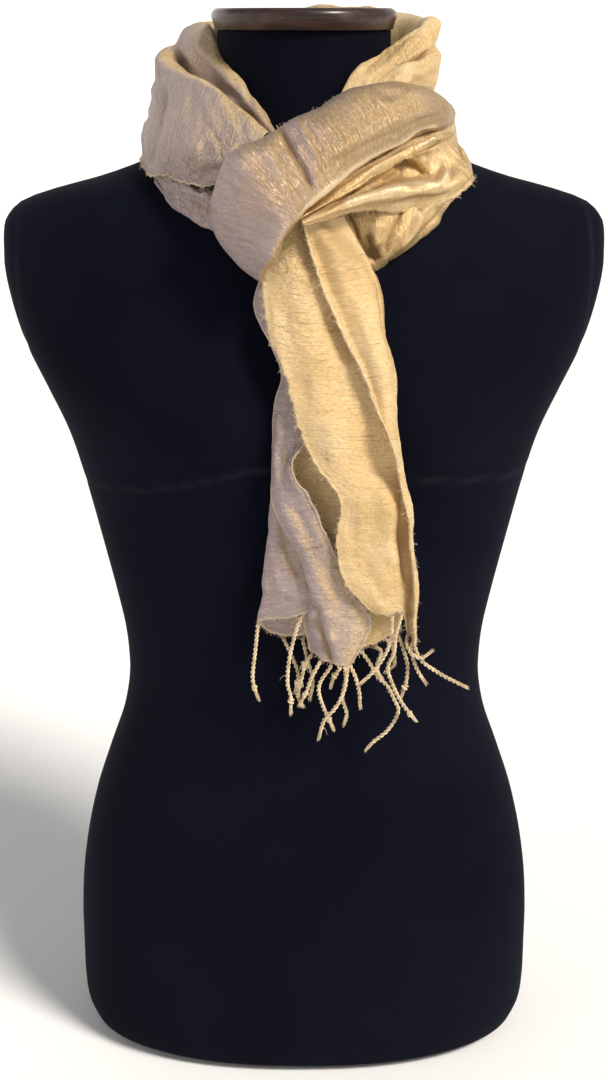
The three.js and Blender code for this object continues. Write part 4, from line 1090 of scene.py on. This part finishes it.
# the fringe: two-ply cords, some tied near their end, and loose warp threads at the hems
fringes = {
    "sideFringe": {"node": "fringe_side", "hem": "tailSide",
        "cords": [
            (0.5, [[-33, -106, 338], [-35, -106, 316], [-33, -106, 307], [-31, -106, 302]]),
            (0.16, [[-5, -119, 357], [-10, -121, 336], [-11, -121, 318], [-9, -120, 309],
                [-9, -120, 297]]),
            (0.78, [[-8, -100, 330], [-4, -102, 318], [-6, -104, 306]]),
            (0.92, [[2, -101, 330], [6, -104, 314], [4, -106, 302]]),
        ]},
    "underFringe": {"node": "fringe_under", "hem": "tailUnder",
        "tangles": [((1, -118, 331), 4.0), ((-3, -117, 317), 3.2)],
        "cords": [
            (0.06, [[1, -113, 330], [-2, -113, 318], [-4, -113, 306], [-1, -113, 300]]),
            (0.2, [[5, -118, 322], [1, -117, 310], [-3, -116, 302]]),
            (0.36, [[10, -119, 316], [13, -116, 300], [17, -113, 290], [20, -112, 282]]),
            (0.62, [[21, -119, 325], [18, -118, 316]]),
            (0.76, [[28, -117, 320], [26, -115, 306], [29, -115, 294], [27, -115, 287]]),
            (0.9, [[27, -123, 315], [21, -123, 302], [14, -121, 293], [10, -120, 279]]),
            (0.98, [[34, -123, 326], [37, -123, 314], [38, -122, 302]]),
        ]},
    "innerFringe": {"node": "fringe_inner", "hem": "tailInner",
        "cords": [
            (0.42, [[44, -115, 332], [50, -117, 322], [56, -117, 316], [61, -117, 306], [64, -117, 298],
                [57, -116, 283], [47, -116, 274], [43, -116, 269]]),
            (0.62, [[52, -110, 338], [49, -110, 326], [53, -109, 318]]),
            (0.8, [[60, -108, 340], [61, -109, 328], [56, -110, 324]]),
            (0.94, [[67, -110, 340], [70, -112, 328], [69, -113, 316], [66, -113, 306]]),
        ]},
    "frontFringe": {"node": "fringe_front", "hem": "tailFront",
        "tangles": [((59, -131, 355), 3.4)],
        "cords": [
            (0.26, [[57, -130, 352], [52, -130, 340], [44, -128, 328], [38, -128, 322]]),
            (0.4, [[61, -126, 356], [60, -126, 344], [56, -125, 332], [59, -125, 321], [66, -124, 306],
                [76, -122, 292]]),
            (0.58, [[69, -120, 346], [73, -122, 340], [79, -122, 338], [85, -121, 342]]),
            (0.7, [[72, -116, 342], [76, -117, 328], [82, -117, 318]]),
            (0.9, [[78, -120, 336], [92, -119, 325], [110, -118, 315]]),
        ]},
}
cordSizes = {
    "ply": 0.74,  # mm, radius of one ply
    "turns": 150.0,  # to the metre
    "hair": 0.15,  # mm, radius of a loose thread
    "out": 2.2,  # mm from the hem to a cord's root
    "knot": {"at": 7.5, "radius": 0.95, "turns": 1.6, "pitch": 4.6, "start": -1.1, "odds": 0.5},
    "tip": 7.0,  # mm that a cord frays at its end
    "tipHairs": 44,
    "gathered": 9,  # warp threads that run into one cord
    "strays": 3,  # loose threads along one cord
    "tangle": 9,  # loops in one tangle
}


def wireMesh(name, lines):
    points, edges = [], []
    for line in lines:
        start = len(points)
        points += (np.asarray(line) * mm).tolist()
        edges += [(start + k, start + k + 1) for k in range(len(line) - 1)]
    mesh = bpy.data.meshes.new(name)
    mesh.from_pydata(points, edges, [])
    return placed(name, mesh)


def cordTree():
    g = Geo("twistedCord", {"Ply": "Float", "Turns": "Float", "Material": "Material"})
    curve = g.node("GeometryNodeMeshToCurve", None, {0: g.given("Geometry")})
    curve = g.node("GeometryNodeResampleCurve", {"mode": "LENGTH"}, {0: curve, 3: 0.00055})
    length = g.node("GeometryNodeSplineParameter", None, None, 1)
    curve = g.node("GeometryNodeSetCurveTilt", None, {0: curve, 2: length * g.given("Turns") * fullTurn})
    ply = g.given("Ply")
    ring = g.node("GeometryNodeCurvePrimitiveCircle", None, {0: 7, 4: ply})
    plies = []
    for side in (1, -1):
        shift = g.node("ShaderNodeCombineXYZ", None, {0: ply * side})
        plies.append(g.node("GeometryNodeTransform", None, {0: ring, 1: shift}))
    pair = g.node("GeometryNodeJoinGeometry", None, {0: plies})
    whole = g.node("GeometryNodeSplineLength")
    thin = g.band(whole - length, 0.0, 0.0016, 0.55, 1.0)
    return g.finish(g.node("GeometryNodeCurveToMesh", None, {0: curve, 1: pair, 2: thin, 3: True}))


def hairTree():
    g = Geo("looseThread", {"Size": "Float", "Material": "Material"})
    curve = g.node("GeometryNodeMeshToCurve", None, {0: g.given("Geometry")})
    ring = g.node("GeometryNodeCurvePrimitiveCircle", None, {0: 4, 4: g.given("Size")})
    share = g.node("GeometryNodeSplineParameter")
    thin = 1.0 - share * 0.5
    return g.finish(g.node("GeometryNodeCurveToMesh", None, {0: curve, 1: ring, 2: thin, 3: True}))


def frayTree():
    labels = {"Step": "Float", "Long": "Float", "Size": "Float", "Seed": "Int", "Material": "Material"}
    g = Geo("edgeFray", labels)
    curve = g.node("GeometryNodeMeshToCurve", None, {0: g.given("Geometry")})
    curve = g.node("GeometryNodeResampleCurve", {"mode": "LENGTH"}, {0: curve, 3: g.given("Step")})
    points = g.node("GeometryNodeCurveToPoints", {"mode": "EVALUATED"}, {0: curve})
    long, seed = g.given("Long"), g.given("Seed")
    middle = g.node("ShaderNodeCombineXYZ", None, {0: long * 0.15, 1: long * 0.1, 2: long * 0.55})
    end = g.node("ShaderNodeCombineXYZ", None, {0: long * 0.55, 1: long * -0.25, 2: long * 0.85})
    hair = g.node("GeometryNodeCurveQuadraticBezier", None, {0: 5, 1: (0, 0, 0), 2: middle, 3: end})
    turn = g.node("FunctionNodeRandomValue", {"data_type": "FLOAT_VECTOR"},
        {0: (-2.2, -2.2, -3.1), 1: (2.2, 2.2, 3.1), 8: seed}, 0)
    turn = g.node("FunctionNodeEulerToRotation", None, {0: turn})
    size = g.node("FunctionNodeRandomValue", {"data_type": "FLOAT"}, {2: 0.25, 3: 1.0, 8: seed}, 1)
    scale = g.node("ShaderNodeCombineXYZ", None, {0: size, 1: size, 2: size})
    hairs = g.node("GeometryNodeInstanceOnPoints", None, {0: points, 2: hair, 5: turn, 6: scale})
    hairs = g.node("GeometryNodeRealizeInstances", None, {0: hairs})
    ring = g.node("GeometryNodeCurvePrimitiveCircle", None, {0: 3, 4: g.given("Size")})
    return g.finish(g.node("GeometryNodeCurveToMesh", None, {0: hairs, 1: ring, 3: True}))


twistedCord, looseThread, edgeFray = cordTree(), hairTree(), frayTree()


def through(points, count):
    return spline(np.array(points), np.linspace(0, 1, count))


def knotted(line, reach, maker):
    # the cord's own turn and a half round itself, near its end
    knot = cordSizes["knot"]
    n = int(np.searchsorted(reach, reach[-1] - knot["at"] - maker.uniform(0, 2)))
    n = min(max(n, 2), len(line) - 2)
    along = line[n + 1] - line[n - 1]
    along /= np.linalg.norm(along)
    one = np.cross(along, [0, 1, 0.01])
    one /= np.linalg.norm(one)
    two = np.cross(along, one)
    radius = knot["radius"] * maker.uniform(0.75, 1.15)
    turns = np.linspace(0, fullTurn * knot["turns"], 22)
    return np.array([line[n] + along * (t / knot["pitch"] + knot["start"])
        + radius * (one * math.cos(t) + two * math.sin(t)) for t in turns])


def brush(body, maker):
    # the frayed tip of a cord
    tip, way, long = body[-1], body[-1] - body[-3], cordSizes["tip"]
    way /= np.linalg.norm(way)
    hairs = []
    for _ in range(cordSizes["tipHairs"]):
        side = maker.normal(0, 1, 3)
        side -= way * side.dot(way)
        side /= max(1, np.linalg.norm(side))
        spread = maker.uniform(0.5, 1.3)
        reach = long * maker.uniform(0.45, 0.95)
        a = tip + side * 0.9 - way * 1.6
        b = tip + way * reach * 0.45 + side * (0.75 + spread * 0.3)
        c = tip + way * reach + side * spread * 0.9 + maker.normal(0, 0.3, 3)
        hairs.append(through([a, b, c], 6))
    return hairs


def fringe(name, spec, seed):
    maker = np.random.default_rng(seed)
    grid = grids[spec["hem"]]
    hem, inside = grid[-1], grid[-4]
    out = (hem - inside) / np.linalg.norm(hem - inside, axis=1, keepdims=True)
    cords, hairs = [], []
    for share, points in spec["cords"]:
        k = int(share * (len(hem) - 1))
        root = hem[k] + out[k] * cordSizes["out"]
        line = through([root, *points], 14 * len(points))
        steps = np.linalg.norm(np.diff(line, axis=0), axis=1)
        reach = np.concatenate([[0], np.cumsum(steps)])
        body = line[reach <= reach[-1] - cordSizes["tip"] * 0.55]
        cords.append(body)
        knot = knotted(line, reach, maker)
        if maker.uniform() < cordSizes["knot"]["odds"]:
            cords.append(knot)
        hairs += brush(body, maker)
        # warp threads that gather into it from the hem
        for _ in range(cordSizes["gathered"]):
            j = int(np.clip(k + maker.normal(0, 2.6), 0, len(hem) - 1))
            b = (hem[j] + root) / 2 + out[j] * 0.5 + maker.normal(0, 0.25, 3)
            hairs.append(through([hem[j] - out[j] * 1.2, b, root + out[k] * 1.5], 5))
        # stray threads along it
        for _ in range(cordSizes["strays"]):
            n = int(maker.integers(1, max(2, len(line) - 6)))
            off = maker.normal(0, 1.2, 3)
            hairs.append(through([line[n], line[n + 2] + off, line[n + 4] + off * 1.3], 6))
    for j in range(1, len(hem) - 1, 2):
        a = hem[j] - out[j] * 0.6
        c = hem[j] + out[j] * maker.uniform(0.8, 2.6) + maker.normal(0, 0.4, 3)
        hairs.append(through([a, (a + c) / 2 + maker.normal(0, 0.2, 3), c], 4))
    for middle, size in spec.get("tangles", []):
        for _ in range(cordSizes["tangle"]):
            hairs.append(through(np.array(middle) + maker.normal(0, size * 0.5, (6, 3)) * [1, 0.45, 1], 26))
    values = {"Ply": cordSizes["ply"] * mm, "Turns": cordSizes["turns"], "Material": cordSilk}
    made = twistedCord.run(wireMesh(name, cords), name, values)
    values = {"Size": cordSizes["hair"] * mm, "Material": cordSilk}
    threads = looseThread.run(wireMesh(name + "Threads", hairs), name + "Threads", values)
    for each in (made, threads):
        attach(each, "root")
    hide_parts(spec["node"])
    return made, threads


fringed = {}
for seed, (name, spec) in enumerate(fringes.items()):
    fringed[spec["hem"]] = fringe(name, spec, 300 + seed)
    print("fringe:", name)

fraySizes = {"step": 0.62, "long": 3.3, "hair": 0.12}  # mm apart, long and in radius
frayed = {}
for seed, (name, line, amount) in enumerate(selvedges):
    values = {"Step": fraySizes["step"] * mm / amount, "Long": fraySizes["long"] * mm * amount}
    values |= {"Size": fraySizes["hair"] * mm, "Seed": 40 + seed, "Material": cordSilk}
    made = edgeFray.run(wireMesh("fray", [line]), f"{name}Fray{seed}", values)
    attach(made, "root")
    frayed.setdefault(name, []).append(made)

for made, flat, held, restsOn in sheets:
    extra = list(frayed.get(made.name, [])) + list(fringed.get(made.name, []))


# the room: a pale floor that runs on behind, soft light from above and both sides
room = {
    "floor": (0.95, 0.95, 0.95, 1),
    "cloud": (0.92, 0.92, 0.92, 1),
    "sky": 0.24,
    "radius": 9.0,  # metres to the round backdrop
    "bend": 3,  # metres, where the floor turns up
    "top": 5.5,
    "round": 96,
    "sun": {"turn": (44, 0, 46), "power": 3.25, "soft": 16, "colour": (1.0, 0.95, 0.88)},
    "aim": (0, -0.05, 0.5),
    "lamps": [  # name, place, width, height, power, colour
        ("left", (-1.5, -1.2, 1.5), 0.9, 1.2, 3.0, (0.74, 0.82, 1.0)),
        ("right", (1.3, -1.0, 0.9), 0.7, 1.2, 5, (1.0, 0.90, 0.76)),
    ],
}


def backdrop():
    level, bend, n = room["radius"] - room["bend"], room["bend"], room["round"]
    rings = [(level, 0.0)]
    for t in np.linspace(0.1, math.pi / 2, 14):
        rings.append((level + bend * math.sin(t), bend - bend * math.cos(t)))
    rings.append((room["radius"], room["top"]))
    points = [(0, 0, 0)]
    for far, high in rings:
        turns = [fullTurn * k / n for k in range(n)]
        points += [(far * math.cos(turn), far * math.sin(turn), high) for turn in turns]
    faces = [(0, 1 + k, 1 + (k + 1) % n) for k in range(n)]
    for j in range(len(rings) - 1):
        for k in range(n):
            a, b = 1 + j * n + k, 1 + j * n + (k + 1) % n
            faces.append((a, a + n, b + n, b))
    s = Shader("paleFloor")
    colour = s.mix(s.noise(s.place(), 3, 2) * 0.1, room["floor"], room["cloud"])
    material = s.finish({"Base Color": colour, "Roughness": 0.9, "Specular IOR Level": 0.1})
    floor = placed("floor", surface("floor", points, faces, material))


def lights():
    world = bpy.data.worlds.new("sky")
    world.use_nodes = True
    sky = world.node_tree.nodes["Background"]
    sky.inputs[0].default_value = (1, 1, 1, 1)
    sky.inputs[1].default_value = room["sky"]
    bpy.context.scene.world = world
    spec = room["sun"]
    sun = bpy.data.lights.new("sun", "SUN")
    sun.energy, sun.angle, sun.color = spec["power"], math.radians(spec["soft"]), spec["colour"]
    placed("sun", sun).rotation_euler = [math.radians(a) for a in spec["turn"]]
    for name, place, wide, high, power, colour in room["lamps"]:
        lamp = bpy.data.lights.new(name, "AREA")
        lamp.shape, lamp.size, lamp.size_y, lamp.energy, lamp.color = "RECTANGLE", wide, high, power, colour
        made = placed(name, lamp)
        made.location = place
        aim = np.array(room["aim"]) - np.array(place)
        yaw = math.atan2(aim[0], aim[1])
        pitch = math.atan2(aim[2], math.hypot(aim[0], aim[1]))
        made.rotation_euler = (math.pi / 2 + pitch, 0, -yaw)


view = {"lens": 57.33, "sensor": 36, "far": 60, "at": (0, -1.2, 0.75), "tilt": 73}


def camera():
    eye = bpy.data.cameras.new("camera")
    eye.lens, eye.sensor_width = view["lens"], view["sensor"]
    eye.clip_end = view["far"]
    made = placed("camera", eye)
    made.location = view["at"]
    made.rotation_euler = (math.radians(view["tilt"]), 0, 0)
    bpy.context.scene.camera = made


backdrop()
lights()
camera()
bpy.context.scene.view_settings.view_transform = "Standard"
